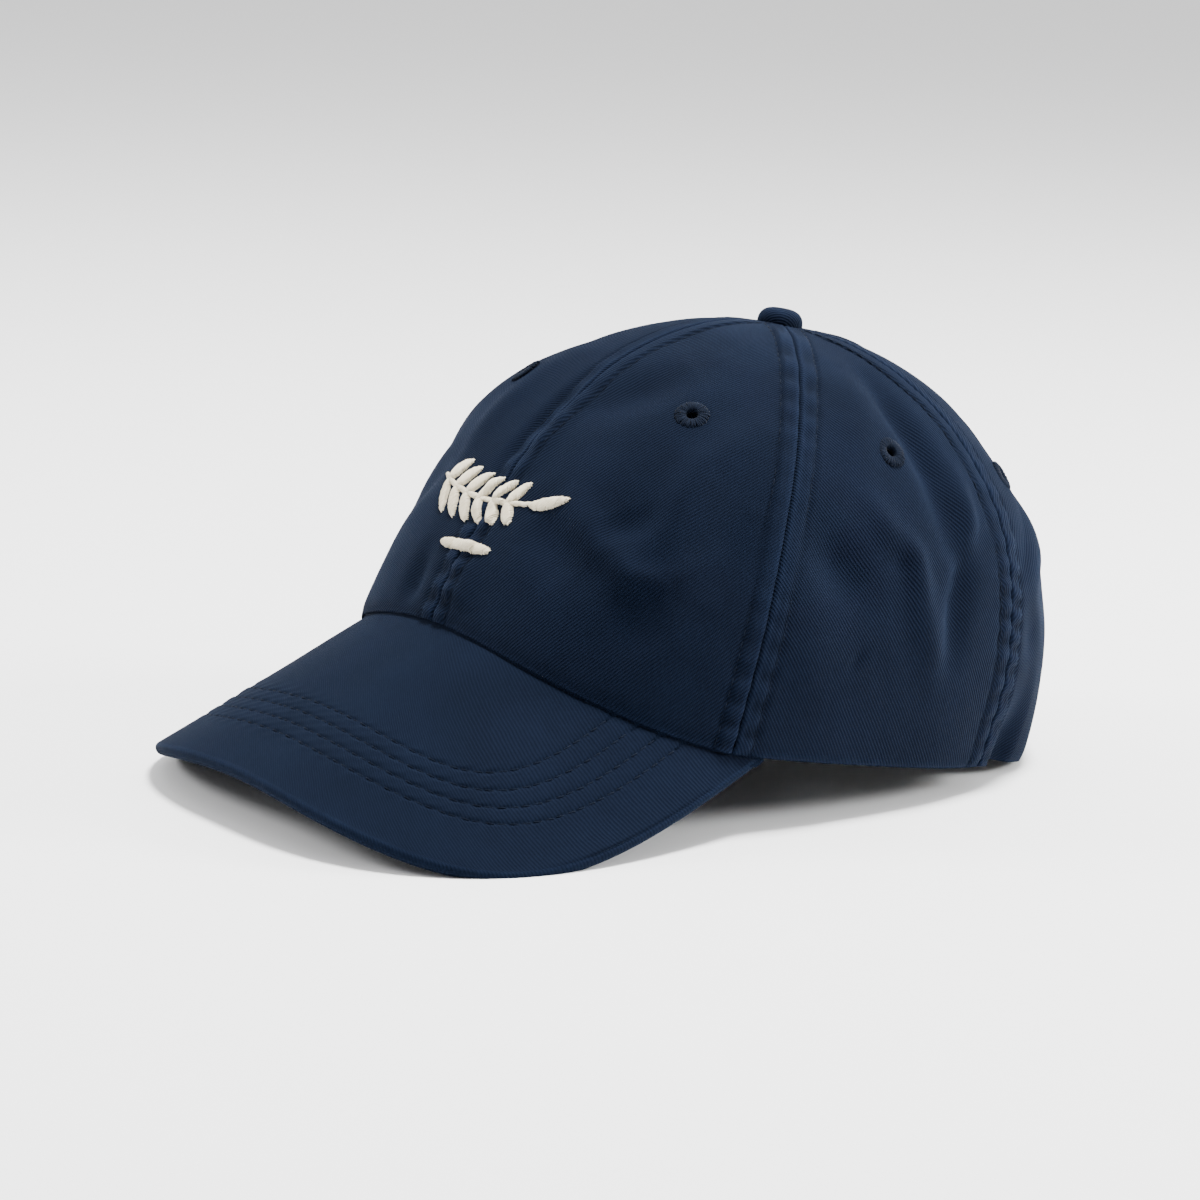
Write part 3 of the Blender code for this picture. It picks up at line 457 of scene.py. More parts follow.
# soft creases in the crown: points as (angle, height in mm), width in mm, lift in mm (negative sinks)
creases = [
    ([(-40, 62), (-44, 84), (-50, 96)], 22, 3.6), ([(138, 66), (146, 56)], 18, 2.6), ([(132, 3), (141, 1)], 17, -6.0),
    ([(-137, 2), (-142, 2)], 15, -3.5), ([(6, 104), (40, 106)], 12, -0.9),
    ([(-4, 92), (-3, 78), (-4, 64)], 3.2, -1.9), ([(-23, 95), (-22, 77), (-20, 62)], 6, 1.5),
    ([(-10, 36), (-9, 18)], 4, -1.7), ([(2, 84), (4, 66)], 3.5, 1.4), ([(2, 40), (6, 22)], 6, 2.0),
    ([(29, 99), (19, 92), (7, 83)], 9, -3.0), ([(51, 86), (43, 75), (40, 54), (37, 44)], 6, 3.0),
    ([(20, 60), (29, 50), (37, 43)], 4.5, 1.9), ([(31, 60), (35, 52)], 8, -1.6),
    ([(33, 50), (36, 43), (42, 43), (50, 52)], 3.6, 1.5),
    ([(56, 66), (53, 53), (50, 40)], 7, -2.4), ([(14, 54), (20, 47), (27, 41)], 6.5, -2.2),
    ([(46, 34), (36, 26)], 8, -1.2), ([(103, 104), (104, 96), (108, 82), (109, 64)], 5.5, -4.0),
    ([(117, 80), (116, 70), (114, 58)], 4, 2.3), ([(115, 64), (111, 47), (110, 32)], 4.5, -3.2),
    ([(71, 62), (76, 55), (83, 46)], 8, -3.6), ([(86, 70), (90, 65), (97, 58), (101, 42)], 5, 2.9),
    ([(88, 105), (87, 93), (78, 78)], 7, 1.7), ([(101, 46), (106, 28)], 6, 1.5),
    ([(86.5, 32), (84, 26)], 1.8, -0.7), ([(92, 64), (95, 52)], 4, -1.4), ([(70, 36), (78, 22)], 9, 1.4),
    ([(-70, 92), (-82, 76), (-90, 52)], 7, -2.5), ([(-98, 70), (-106, 44)], 6, 2.0),
    ([(-76, 52), (-88, 36)], 7, -1.9), ([(-36, 84), (-46, 62), (-42, 44)], 7, 1.9),
    ([(-24, 60), (-36, 44)], 7, -2.0), ([(-112, 84), (-114, 60)], 5, -2.2), ([(-54, 50), (-50, 34)], 6, -1.5),
    ([(146, 92), (154, 72)], 7, -1.7), ([(-140, 88), (-150, 66)], 7, -1.9), ([(160, 84), (166, 66)], 6, 1.4),
    ([(136, 50), (138, 30)], 6, -1.0), ([(-134, 56), (-138, 30)], 6, 1.0),
]
seamLook = {"ridge": 0.45, "rowAt": 5.6, "rowSunk": 0.5, "pucker": 0.60, "puckerPitch": 7.0, "edgeRoll": 0.5}


def creaseLift(points):
    flat = points.reshape(-1, 3)
    lift = np.zeros(len(flat))
    for line, width, amount in creases:
        angles, heights = np.radians([a for a, h in line]), np.array([h for a, h in line]) * mm
        path = crownForm(angles, riseAt(angles, heights))
        lengths = np.linalg.norm(np.diff(path, axis=0), axis=1)
        best, share = np.full(len(flat), 1e9), np.zeros(len(flat))
        start = 0.0
        for a, b, length in zip(path, path[1:], lengths):
            t = np.clip(((flat - a) @ (b - a)) / length ** 2, 0, 1)
            away = np.linalg.norm(flat - a - t[:, None] * (b - a), axis=1)
            nearer = away < best
            best = np.where(nearer, away, best)
            share = np.where(nearer, (start + t * length) / lengths.sum(), share)
            start += length
        fade = 0.35 + 0.65 * np.sin(share * pi)
        lift += amount * mm * fade * np.exp(-(best / (width * mm)) ** 2)
    # sewn to the peak along the front, so the creases die away there
    edge = peakSeamHeight(np.arctan2(flat[:, 0], -flat[:, 1]))
    held = smooth(0, 9 * mm, flat[:, 2] - edge) * (edge > 0) + (edge <= 0)
    turn = np.abs(np.arctan2(flat[:, 0], -flat[:, 1]))
    blend = smooth(math.radians(60), math.radians(78), turn)
    lift = lift * (held * (1 - blend) + blend)
    # and bound round the opening at the back, which holds it to its curve
    bound = smooth(math.radians(139), math.radians(147), turn) * (1 - smooth(48 * mm, 62 * mm, flat[:, 2]))
    return (lift * (1 - bound)).reshape(points.shape[:-1])


def slackLift(points):  # the cloth's own slight unevenness
    flat = points.reshape(-1, 3)
    lift = [noise.noise(Vector(p) * 42) * 0.45 + noise.noise(Vector(p) * 110 + Vector((3, 1, 7))) * 0.14
            for p in flat]
    return np.array(lift).reshape(points.shape[:-1]) * mm


def seamDistance(angle, radius):
    away = [np.abs((angle - seam + pi) % (2 * pi) - pi) for seam in seams]
    nearest = np.argmin(away, axis=0)
    return np.min(away, axis=0) * radius, nearest


def seamLift(angle, points):
    radius = fromAxis(points)
    d, nearest = seamDistance(angle, radius)
    d = d / mm
    side = np.sign((angle - np.array(seams)[nearest] + pi) % (2 * pi) - pi)
    look = seamLook
    ridge = look["ridge"] * smooth(0, 1.1, d) * (1 - smooth(look["rowAt"] - 1.1, look["rowAt"] + 0.6, d))
    row = -look["rowSunk"] * np.exp(-((d - look["rowAt"]) / 0.6) ** 2)
    height = points[..., 2] / mm
    phase = height / look["puckerPitch"] * 2 * pi + nearest * 1.9 + side * 0.8
    phase = phase + 1.5 * np.sin(height / 19 + nearest) + 0.9 * np.sin(height / 7.3 + side)
    strength = 0.55 + 0.45 * np.sin(height / 23 + nearest * 2.1)
    pucker = look["pucker"] * strength * np.sin(phase) * np.exp(-((d - 3.2) / 3.0) ** 2)
    return (ridge + row + pucker) * mm * smooth(7 * mm, 22 * mm, radius)


def onCrown(angle, rise, lift=0.0, seam=True):  # a point on the finished cloth, lifted off it
    angle, rise = np.broadcast_arrays(np.asarray(angle, float), np.asarray(rise, float))
    points = crownForm(angle, rise)
    total = creaseLift(points) + slackLift(points) + lift
    if seam:
        total = total + seamLift(angle, points)
    return points + crownNormal(angle, rise) * np.asarray(total)[..., None]


def merged(*groups):
    return np.unique(np.round(np.concatenate([np.asarray(g, float) for g in groups]), 7))


edgeSteps = np.array([0, 0.12, 0.3, 0.55, 0.9, 1.4]) * mm
panelLook = {"columns": 74, "rows": 120, "panelWidth": 95 * mm, "panelLength": 150 * mm, "archSteps": 34}


def columnAngles(start, end):
    near = edgeSteps / panelLook["panelWidth"] * (end - start)
    foot = pi - arch["halfAngle"]
    if end < foot:
        return merged(np.linspace(start + 0.02, end - 0.02, panelLook["columns"]), start + near, end - near)
    swings = np.linspace(0, pi / 2, panelLook["archSteps"])
    over = pi - arch["halfAngle"] * np.abs(np.cos(swings)) ** (2 / arch["squareness"])
    return merged(np.linspace(start + 0.02, foot, 40), over[over < pi - 0.02], start + near, pi - near)


def arcRows(angles, low, high, shares):  # rises spaced evenly by length up each meridian
    fine = np.linspace(0, 1, 300)[:, None] ** 1.7
    rises = low + (high - low) * fine
    points = crownForm(angles + 0 * rises, rises)
    steps = np.linalg.norm(np.diff(points, axis=0), axis=-1)
    along = np.concatenate([np.zeros((1, len(angles))), np.cumsum(steps, 0)])
    picked = [np.interp(shares * along[-1, k], along[:, k], rises[:, k]) for k in range(len(angles))]
    return np.array(picked).T, shares[:, None] * along[-1]


eyelet = {"hole": 1.7 * mm, "radius": 4.7 * mm, "rise": 46, "strands": 46, "thread": 0.26 * mm,
          "at": {"front": 35.5, "side": 94, "back": 143}, "farShift": (5, -0.6)}


def eyeletMatrix(angle):  # Z along the cloth's outward normal, origin on the cloth
    # the one on the wearer's right front sits nearer the middle and a little lower
    turn, drop = eyelet["farShift"] if -1 < angle < 0 else (0, 0)
    rise = np.array(math.radians(eyelet["rise"] + drop))
    angle = np.array(float(angle) + math.radians(turn))
    point = onCrown(angle, rise, seam=False)
    outward = Vector(crownNormal(angle, rise))
    return Matrix.Translation(Vector(point)) @ outward.to_track_quat("Z", "Y").to_matrix().to_4x4()


def punchHole(piece, matrix, radius):  # opens a round hole through both faces and joins its rims
    world = Matrix.Translation(Vector(crown["place"])) @ Matrix.Rotation(-pitch, 4, "X") @ matrix
    back = world.inverted()
    work = bmesh.new()
    work.from_mesh(piece.data)
    inside = []
    for face in work.faces:
        local = back @ face.calc_center_median()
        if math.hypot(local.x, local.y) < radius and abs(local.z) < 5 * mm:
            inside.append(face)
    bmesh.ops.delete(work, geom=inside, context="FACES")
    rims = [edge for edge in work.edges if edge.is_boundary]
    for vertex in {v for edge in rims for v in edge.verts}:
        local = back @ vertex.co
        away = math.hypot(local.x, local.y)
        local.x *= radius / away
        local.y *= radius / away
        vertex.co = world @ local
    bmesh.ops.bridge_loops(work, edges=rims)
    loose = [v for v in work.verts if not v.link_faces]
    bmesh.ops.delete(work, geom=loose, context="VERTS")
    bmesh.ops.recalc_face_normals(work, faces=work.faces)
    work.to_mesh(piece.data)
    work.free()


def addPanels():
    spans = {"front": (0, crown["sideSeam"]), "side": (crown["sideSeam"], crown["backSeam"]),
             "back": (crown["backSeam"], 180)}
    shares = merged(np.linspace(0.01, 1, panelLook["rows"]), edgeSteps / panelLook["panelLength"])
    for place, (start, end) in spans.items():
        start, end = math.radians(start), math.radians(end)
        angles = columnAngles(start, end)
        low = riseAt(angles, lowerEdge(angles))
        high = riseNearTop(angles, crown["topHole"])
        rises, along = arcRows(angles, low, high, shares)
        fine = np.linspace(0, 1, 200)[:, None] ** 1.7
        below = np.linalg.norm(np.diff(crownForm(angles + 0 * fine, low * fine), axis=0), axis=-1).sum(0)
        for hand, side in (("left", 1), ("right", -1)):
            base = crownForm(side * angles + 0 * rises, rises)
            radius = fromAxis(base)
            squeeze = 0.08 * mm / np.maximum(radius, crown["topHole"])
            share = (angles - start) / (end - start)
            turned = side * (start + squeeze + (end - start - 2 * squeeze) * share)
            base = crownForm(turned, rises)
            normal = crownNormal(turned, rises)
            soft = creaseLift(base) + slackLift(base)
            sewn = seamLift(turned, base)
            roll = seamLook["edgeRoll"] * mm  # edges turn in round half the cloth's thickness
            toSeam = np.minimum(angles - start, end - angles) * radius + 0.02 * mm
            edge = np.minimum(toSeam * 0.8, along)
            sunk = rolledIn(edge, roll)
            hem = 0.45 * mm * np.exp(-(along / (2.2 * mm)) ** 2) * (peakSeamHeight(turned) > 0)
            outer = base + normal * (soft + sewn - sunk - hem)[..., None]
            inner = base + normal * (soft - crown["thickness"] + sunk)[..., None]
            flat = np.stack([side * (angles - (start + end) / 2) * radius, along + below], -1)
            ridge = np.exp(-((toSeam / mm - 0.9) / 0.8) ** 2) * 0.8 + np.exp(-(along / mm / 1.2) ** 2) * 0.7
            # high puckers rub pale; the dips between them and the stitch rows' grooves are darkened as painted shade
            pucker = (sewn / mm - 0.35) * np.exp(-((toSeam / mm - 3.4) / 3.2) ** 2)
            finish = "crownSide" if place == "side" else "crown"
            name = f"{place}_panel_{hand}"
            piece = shellPiece("cloth_" + name, restFlat(outer), restFlat(inner), finish, uv=flat,
                               wear=np.clip(ridge + 1.2 * pucker, -1.2, 1), replaces=[name])
            matrix = eyeletMatrix(side * math.radians(eyelet["at"][place]))
            punchHole(piece, matrix, eyelet["hole"] + 0.9 * mm)
            addEyelet(f"eyelet_{place}_{hand}", matrix)
    print("crown panels and eyelets made")


def addEyelet(name, matrix):
    rng = random.Random(name)
    ring = Threads()
    hole, outer, thick = eyelet["hole"], eyelet["radius"], crown["thickness"]
    for k in range(eyelet["strands"]):
        turn = (k + rng.uniform(-0.25, 0.25)) * 2 * pi / eyelet["strands"]
        reach = outer + rng.uniform(-0.2, 0.1) * mm
        proud = rng.uniform(-0.08, 0.12) * mm
        profile = [(reach, -0.25 * mm), (reach - 0.25 * mm, 0.2 * mm), (0.6 * reach + 0.4 * hole, 0.46 * mm + proud),
                   (hole + 0.75 * mm, 0.5 * mm + proud), (hole + 0.22 * mm, 0.22 * mm),
                   (hole, -thick / 2), (hole + 0.22 * mm, -thick - 0.3 * mm),
                   (hole + 0.75 * mm, -thick - 0.68 * mm), (0.6 * reach + 0.4 * hole, -thick - 0.6 * mm),
                   (reach - 0.25 * mm, -thick - 0.2 * mm), (reach, -thick + 0.25 * mm)]
        lean = rng.uniform(-0.05, 0.05)
        path, ups = [], []
        for r, z in profile:
            a = turn + lean * (r - hole) / (outer - hole)
            path.append(matrix @ Vector((r * math.cos(a), r * math.sin(a), z)))
            ups.append(matrix.to_3x3() @ Vector((-math.sin(a), math.cos(a), 0)))
        grow = [1.25, 1.35, 1.2, 1.0, 0.85, 0.75, 0.85, 1.0, 1.2, 1.35, 1.25]
        ring.tube([tuple(p) for p in path], [tuple(u) for u in ups], np.array(grow) * eyelet["thread"])
    ring.piece("thread_" + name, "thread", replaces=[name])


seamStitch = {"dash": 2.6, "gap": 0.8, "radius": 0.16}


def addSeamStitches():
    for number, seam in enumerate(seams):
        rows = Threads()
        for side in (-1, 1):
            angle = np.array([seam])
            low = riseAt(angle, lowerEdge(angle) + (7 if number == 5 else 1) * mm)
            high = riseNearTop(angle, 9 * mm)
            rises, _ = arcRows(angle, low, high, np.linspace(0, 1, 260))
            rises = rises[:, 0]
            base = crownForm(seam + 0 * rises, rises)
            turned = seam + side * seamLook["rowAt"] * mm / fromAxis(base)
            normal = crownNormal(turned, rises)
            path = onCrown(turned, rises, 0.04 * mm)
            rows.stitches(path, normal, seamStitch)
        rows.piece(f"seam_stitches_{number + 1}", "thread")
    print("seam stitches made")


# peak

def peakStart(angle):
    rise = riseAt(angle, peakSeamHeight(angle))
    point = crownForm(angle, rise) - crownNormal(angle, rise) * crown["thickness"]
    point[..., 2] -= peak["seamGap"]
    return point


def peakRuled(share, reach):
    near, far = peak["droop"]
    droop = near + (far - near) * share ** 2 + peak["twist"] * share
    splay = peak["splay"] * share
    ruling = np.stack([np.cos(droop) * np.sin(splay), -np.cos(droop) * np.cos(splay), -np.sin(droop)], -1)
    return peakStart(peak["halfSeam"] * share) + ruling * reach[..., None]


def peakPoint(station, inset, depth=0.0):
    station, inset = np.broadcast_arrays(np.asarray(station, float), np.asarray(inset, float))
    share = station * (1 - inset / peak["taper"])
    across, forward = peak["corner"]
    reach = (peak["length"] - inset) * np.clip(1 - np.abs(station) ** across, 0, 1) ** (1 / forward)
    sideways = peakRuled(share + 0.002, reach) - peakRuled(share - 0.002, reach)
    forwards = peakRuled(share, reach + mm) - peakRuled(share, reach)
    normal = unit(np.cross(forwards, sideways))
    return peakRuled(share, reach) - normal * np.asarray(depth)[..., None]


def evenStations(count, inset=0.0):
    fine = np.sin(np.linspace(-pi / 2, pi / 2, 2001))
    length = runAlong(peakPoint(fine, inset))
    stations = np.interp(np.linspace(0, length[-1], count), length, fine)
    stations[0], stations[-1] = -1, 1
    return stations


peakLook = {"columns": 230, "step": 1.6 * mm, "rowSunk": 0.30, "puff": 0.12, "pucker": 0.09, "puckerPitch": 6.5}
peakStitch = {"dash": 2.6, "gap": 0.7, "radius": 0.17}
board = {"spread": 0.93, "fromEdge": 4.2 * mm, "fromSeam": 3 * mm, "play": 0.5 * mm}
allowance = {"reaches": (3.0, 1.2), "rises": (0.8, 2.5, 5.0, 8.0), "behind": 1.15 * mm, "thickness": 0.5 * mm}


def peakLift(points, inset):  # stitched rows sink, the cloth between them swells and puckers
    lift = np.zeros(len(points))
    last = peak["rows"] - 1
    for row in range(peak["rows"]):
        away = (inset - peak["firstRow"] - row * peak["rowSpacing"]) / mm
        lift -= peakLook["rowSunk"] * math.exp(-(away / 0.55) ** 2)
    inside = (inset - peak["firstRow"]) / peak["rowSpacing"]
    if 0 < inside < last:
        lift += peakLook["puff"] * math.sin(inside % 1 * pi)
    near = math.exp(-(max(0, -inside, inside - last) * peak["rowSpacing"] / (4 * mm)) ** 2)
    run = runAlong(points) / mm
    wave = np.sin(run / peakLook["puckerPitch"] * 2 * pi + 2 * np.sin(run / 17) + 2.2 * round(inside))
    lift += peakLook["pucker"] * near * wave
    rough = [noise.noise(Vector(p) * 55) for p in points]
    return (lift + 0.18 * np.array(rough)) * mm


def peakGrid(count, sink, swings, insets, lifted):
    stations = evenStations(count)
    edge = peakPoint(stations, 0.0)
    outward = edge - peakPoint(stations, 0.5 * mm)
    tangent = unit(np.gradient(edge, axis=0))
    outward /= np.linalg.norm(np.cross(outward, tangent), axis=1, keepdims=True)
    half = peak["depth"] / 2
    down = peakPoint(stations, 0.0, np.ones(count)) - edge
    centre = edge - outward * peak["edgeRound"] + down * half
    rows = [centre + outward * (peak["edgeRound"] - sink) * math.sin(a) - down * (half - sink) * math.cos(a)
            for a in swings]
    above = swings[-1] < pi / 2
    for inset in insets:
        own = evenStations(count, inset)
        lift = peakLift(peakPoint(own, inset), inset) if lifted else 0 * own
        level = sink - lift if above else peak["depth"] - sink + lift
        rows.append(peakPoint(own, inset, level))
    return np.array(rows)


def addPeak():
    count = peakLook["columns"]
    first = peak["edgeRound"] + 0.7 * mm
    rowPlaces = peak["firstRow"] + np.arange(peak["rows"]) * peak["rowSpacing"]
    close = np.concatenate([rowPlaces + k * mm for k in (-1.3, -0.7, -0.3, 0, 0.3, 0.7, 1.3)])
    insets = merged(np.arange(first, peak["length"], peakLook["step"]), close, [peak["length"]])
    # the covers' rounded edges, in degrees from straight up (0) to straight down (180)
    for name, swings in (("peak_top_cover", [89.4, 72, 54, 36, 18, 0]),
                         ("peak_under_cover", [90.6, 108, 126, 144, 162, 180])):
        swings = np.radians(swings)
        outer = peakGrid(count, 0.0, swings, insets, True)
        inner = peakGrid(count, peak["cover"], swings, insets, False)
        run = np.concatenate([-(len(swings) - np.arange(len(swings))) * 0.5 * mm, insets])
        middle = (count - 1) / 2
        over = (np.arange(count) - middle) / middle * 0.16
        flat = paired(over * (1 - run[:, None] / peak["taper"]), run[:, None])
        wear = np.exp(-((run[:, None] + 0 * over) / (1.6 * mm)) ** 2)
        shellPiece("cloth_" + name, restFlat(outer), restFlat(inner), "peak", uv=flat, wear=wear, replaces=[name])
    for row in range(peak["rows"]):
        inset = rowPlaces[row]
        stations = evenStations(420, inset)[2:-2]
        along = peakPoint(stations, inset)
        up = peakPoint(stations, inset, -np.ones(len(stations))) - along
        rows = Threads()
        rows.stitches(along + up * (peakLift(along, inset) + 0.05 * mm)[:, None], up, peakStitch)
        below = along - up * (peak["depth"] - peakLift(along, inset) + 0.05 * mm)[:, None]
        rows.stitches(below, -up, peakStitch)
        rows.piece(f"thread_peak_{row + 1}", "thread", replaces=[f"peak_stitching_{row + 1}"])
    # the stiff board between the covers
    stations = np.linspace(-board["spread"], board["spread"], 121)
    insets = np.linspace(board["fromEdge"], peak["length"] - board["fromSeam"], 28)[:, None]
    top = peakPoint(stations, insets, peak["cover"] + board["play"] + 0 * stations)
    low = peakPoint(stations, insets, peak["depth"] - peak["cover"] - board["play"] + 0 * stations)
    shellPiece("board_peak", restFlat(top), restFlat(low), "board", replaces=["peak_board"])
    print("peak made")


def addPeakAllowance():  # the peak's cut edge, turned up inside the crown behind the hem
    angles = np.linspace(-1, 1, 240) * peak["halfSeam"]
    share = angles / peak["halfSeam"]
    rows = []
    for reach in allowance["reaches"]:
        point = peakRuled(share, reach * mm + 0 * share)
        point[..., 2] -= 0.45 * mm
        rows.append(point)
    start = peakStart(angles)
    start[..., 2] -= 0.3 * mm
    rows.append(start)
    for up in allowance["rises"]:
        rise = riseAt(angles, peakSeamHeight(angles) + up * mm)
        rows.append(onCrown(angles, rise, -allowance["behind"], seam=False))
    outer = np.array(rows)
    normal = unit(np.cross(np.gradient(outer, axis=1), np.gradient(outer, axis=0)))
    shellPiece("cloth_peak_allowance", outer, outer - normal * allowance["thickness"], "peak")
    print("peak allowance made")


# button on top

button = {"radius": 6.7 * mm, "height": 4.6 * mm, "foot": -0.9 * mm, "cloth": 0.5 * mm, "squareness": 2.9,
          "gathers": 22, "gatherDepth": 0.12 * mm}


def addButton():
    sides = 96
    turns = np.arange(sides + 1) * 2 * pi / sides
    swings = np.linspace(-0.35, pi / 2, 26)
    n = button["squareness"]
    grids = []
    for sink in (0, button["cloth"]):
        radius = (button["radius"] - sink) * np.cos(swings) ** (2 / n)
        tall = button["height"] - button["foot"] - sink
        height = button["foot"] + tall * np.sign(np.sin(swings)) * np.abs(np.sin(swings)) ** (2 / n)
        height = np.maximum(height, button["foot"])
        low = np.exp(-(np.maximum(height - button["foot"], 0) / (1.3 * mm)) ** 2)
        pull = button["gatherDepth"] * low[:, None] * np.sin(turns * button["gathers"] + 1.5 * np.sin(turns * 3))
        r = radius[:, None] + pull - 0.12 * mm * low[:, None]
        grids.append(np.stack([r * np.cos(turns), r * np.sin(turns) + crown["setback"],
                               height[:, None] + crown["height"] + 0 * turns], -1))
    outer, inner = grids
    steps = np.linalg.norm(np.diff(outer[:, 0], axis=0), axis=-1)
    fromTop = np.concatenate([steps[::-1].cumsum()[::-1], [0]])[:, None]
    flat = np.stack([fromTop * np.cos(turns), fromTop * np.sin(turns)], -1)
    piece = shellPiece("cloth_button", outer, inner, "crown", uv=flat, replaces=["button_cover"],
                       wear=np.exp(-((swings[:, None] - 0.8 + 0 * turns) / 0.3) ** 2) * 0.7)
    closedPiece(piece)
    print("button made")


# embroidered leaf sprig and bar on the front, raised satin stitch

motif = {"centre": 54 * mm, "shift": -3 * mm, "turn": 3, "bow": 4 * mm, "length": 46 * mm, "stem": 0.8 * mm,
         "leaf": 11.6 * mm, "leafWidth": 4.3 * mm, "pairs": 6, "lean": 48,
         "thread": 0.21 * mm, "spacing": 0.42 * mm, "loft": 0.75 * mm}
motifBar = {"centre": 40.5 * mm, "turn": 2, "bow": 0.0, "halfLength": 11 * mm, "halfHeight": 1.8 * mm}


def onFront(x, y, look, lift):
    turn = math.radians(look["turn"])
    y = y + look["bow"] * (x / (26 * mm)) ** 2
    height = look["centre"] + (x * math.sin(turn) + y * math.cos(turn)) * 0.88
    angle = (x * math.cos(turn) - y * math.sin(turn)) / (crown["front"] - 0.26 * height)
    rise = riseAt(angle, height)
    return onCrown(angle, rise, lift), crownNormal(angle, rise)


def satin(batch, look, start, end, halfWidth, slant, rng):  # threads laid side by side across a shape
    start, end = np.array(start), np.array(end)
    length = np.linalg.norm(end - start)
    ahead = (end - start) / length
    across = np.array([-ahead[1], ahead[0]])
    count = max(4, int(length / motif["spacing"]))
    shares = (np.arange(count) + 0.5) / count
    crossing = np.linspace(-1, 1, 7)
    for share in shares:
        half = halfWidth(share) + rng.uniform(-0.16, 0.12) * mm
        if half < 0.25 * mm:
            continue
        middle = start + ahead * length * share
        line = middle + across * half * crossing[:, None] + ahead * slant * half * crossing[:, None]
        loft = 0.12 * mm + motif["loft"] * min(1, half / (1.6 * mm)) * (1 - crossing ** 2) ** 0.6
        loft = loft + rng.uniform(-0.07, 0.09) * mm
        loft[[0, -1]] = -0.25 * mm
        path, ups = onFront(line[:, 0], line[:, 1], look, loft)
        batch.tube(path, ups, motif["thread"], 5)
    # filling under the threads so that no cloth shows between them
    rows, cols = 14, 7
    grid = np.linspace(0.02, 0.98, rows)
    halves = np.array([max(halfWidth(s) - 0.1 * mm, 0.02 * mm) for s in grid])
    cross = np.linspace(-1, 1, cols)
    x = (start[0] + ahead[0] * length * grid)[:, None] + (across[0] + ahead[0] * slant) * halves[:, None] * cross
    y = (start[1] + ahead[1] * length * grid)[:, None] + (across[1] + ahead[1] * slant) * halves[:, None] * cross
    loft = motif["loft"] * np.minimum(1, halves / (1.6 * mm))[:, None] * (1 - cross ** 2) ** 0.6 - 0.2 * mm
    top, _ = onFront(x, y, look, loft)
    low, _ = onFront(x, y, look, -0.3 * mm + 0 * loft)
    batch.points += [top.reshape(-1, 3), low.reshape(-1, 3)]
    flat = paired(x, y).reshape(-1, 2)
    batch.uv += [flat, flat]
    batch.faces += [[batch.count + i for i in face] for face in shellFaces(rows, cols)]
    batch.count += 2 * rows * cols


def addMotif():
    rng = random.Random(3)
    sprig = Threads()
    length, leaf = motif["length"], motif["leaf"]
    left = motif["shift"] - (length + 0.6 * leaf) / 2
    wide = motif["leafWidth"] / 2

    def leafHalf(share):
        return wide * math.sin(pi * share ** 0.85) ** 0.8

    def stemHalf(share):
        return motif["stem"] * (0.75 + 0.25 * math.sin(pi * share))

    satin(sprig, motif, (left, 0), (left + length * 0.98, 0), stemHalf, 0.9, rng)
    for k in range(motif["pairs"]):
        root = left + length * (0.07 + 0.84 * k / motif["pairs"])
        size = leaf * (1.05 - 0.05 * k)
        for side in (1, -1):
            lean = side * math.radians(motif["lean"])
            tip = (root + size * math.cos(lean), size * math.sin(lean))
            satin(sprig, motif, (root, side * 0.35 * mm), tip, leafHalf, side * 0.5, rng)
    satin(sprig, motif, (left + length * 0.96, 0), (left + length + leaf, 0), leafHalf, 0.5, rng)
    sprig.piece("thread_sprig", "cream", replaces=["motif_sprig"])

    bar = Threads()
    half, tall = motifBar["halfLength"], motifBar["halfHeight"]
    satin(bar, motifBar, (-half, 0), (half, 0), lambda share: tall * (1 - abs(2 * share - 1) ** 5) ** 0.5, 0.35, rng)
    bar.piece("thread_bar", "cream", replaces=["motif_bar"])
    print("embroidery made")


# inside: seam tapes, sweatband and label

trim = {"tapeWidth": 12 * mm, "tapeThickness": 0.5 * mm, "bandHeight": 28 * mm, "bandThickness": 1.2 * mm,
        "gap": 0.3 * mm, "hem": 0.8 * mm, "patchRadius": 16.5 * mm}
trimStitch = {"dash": 2.6, "gap": 0.9, "radius": 0.17}


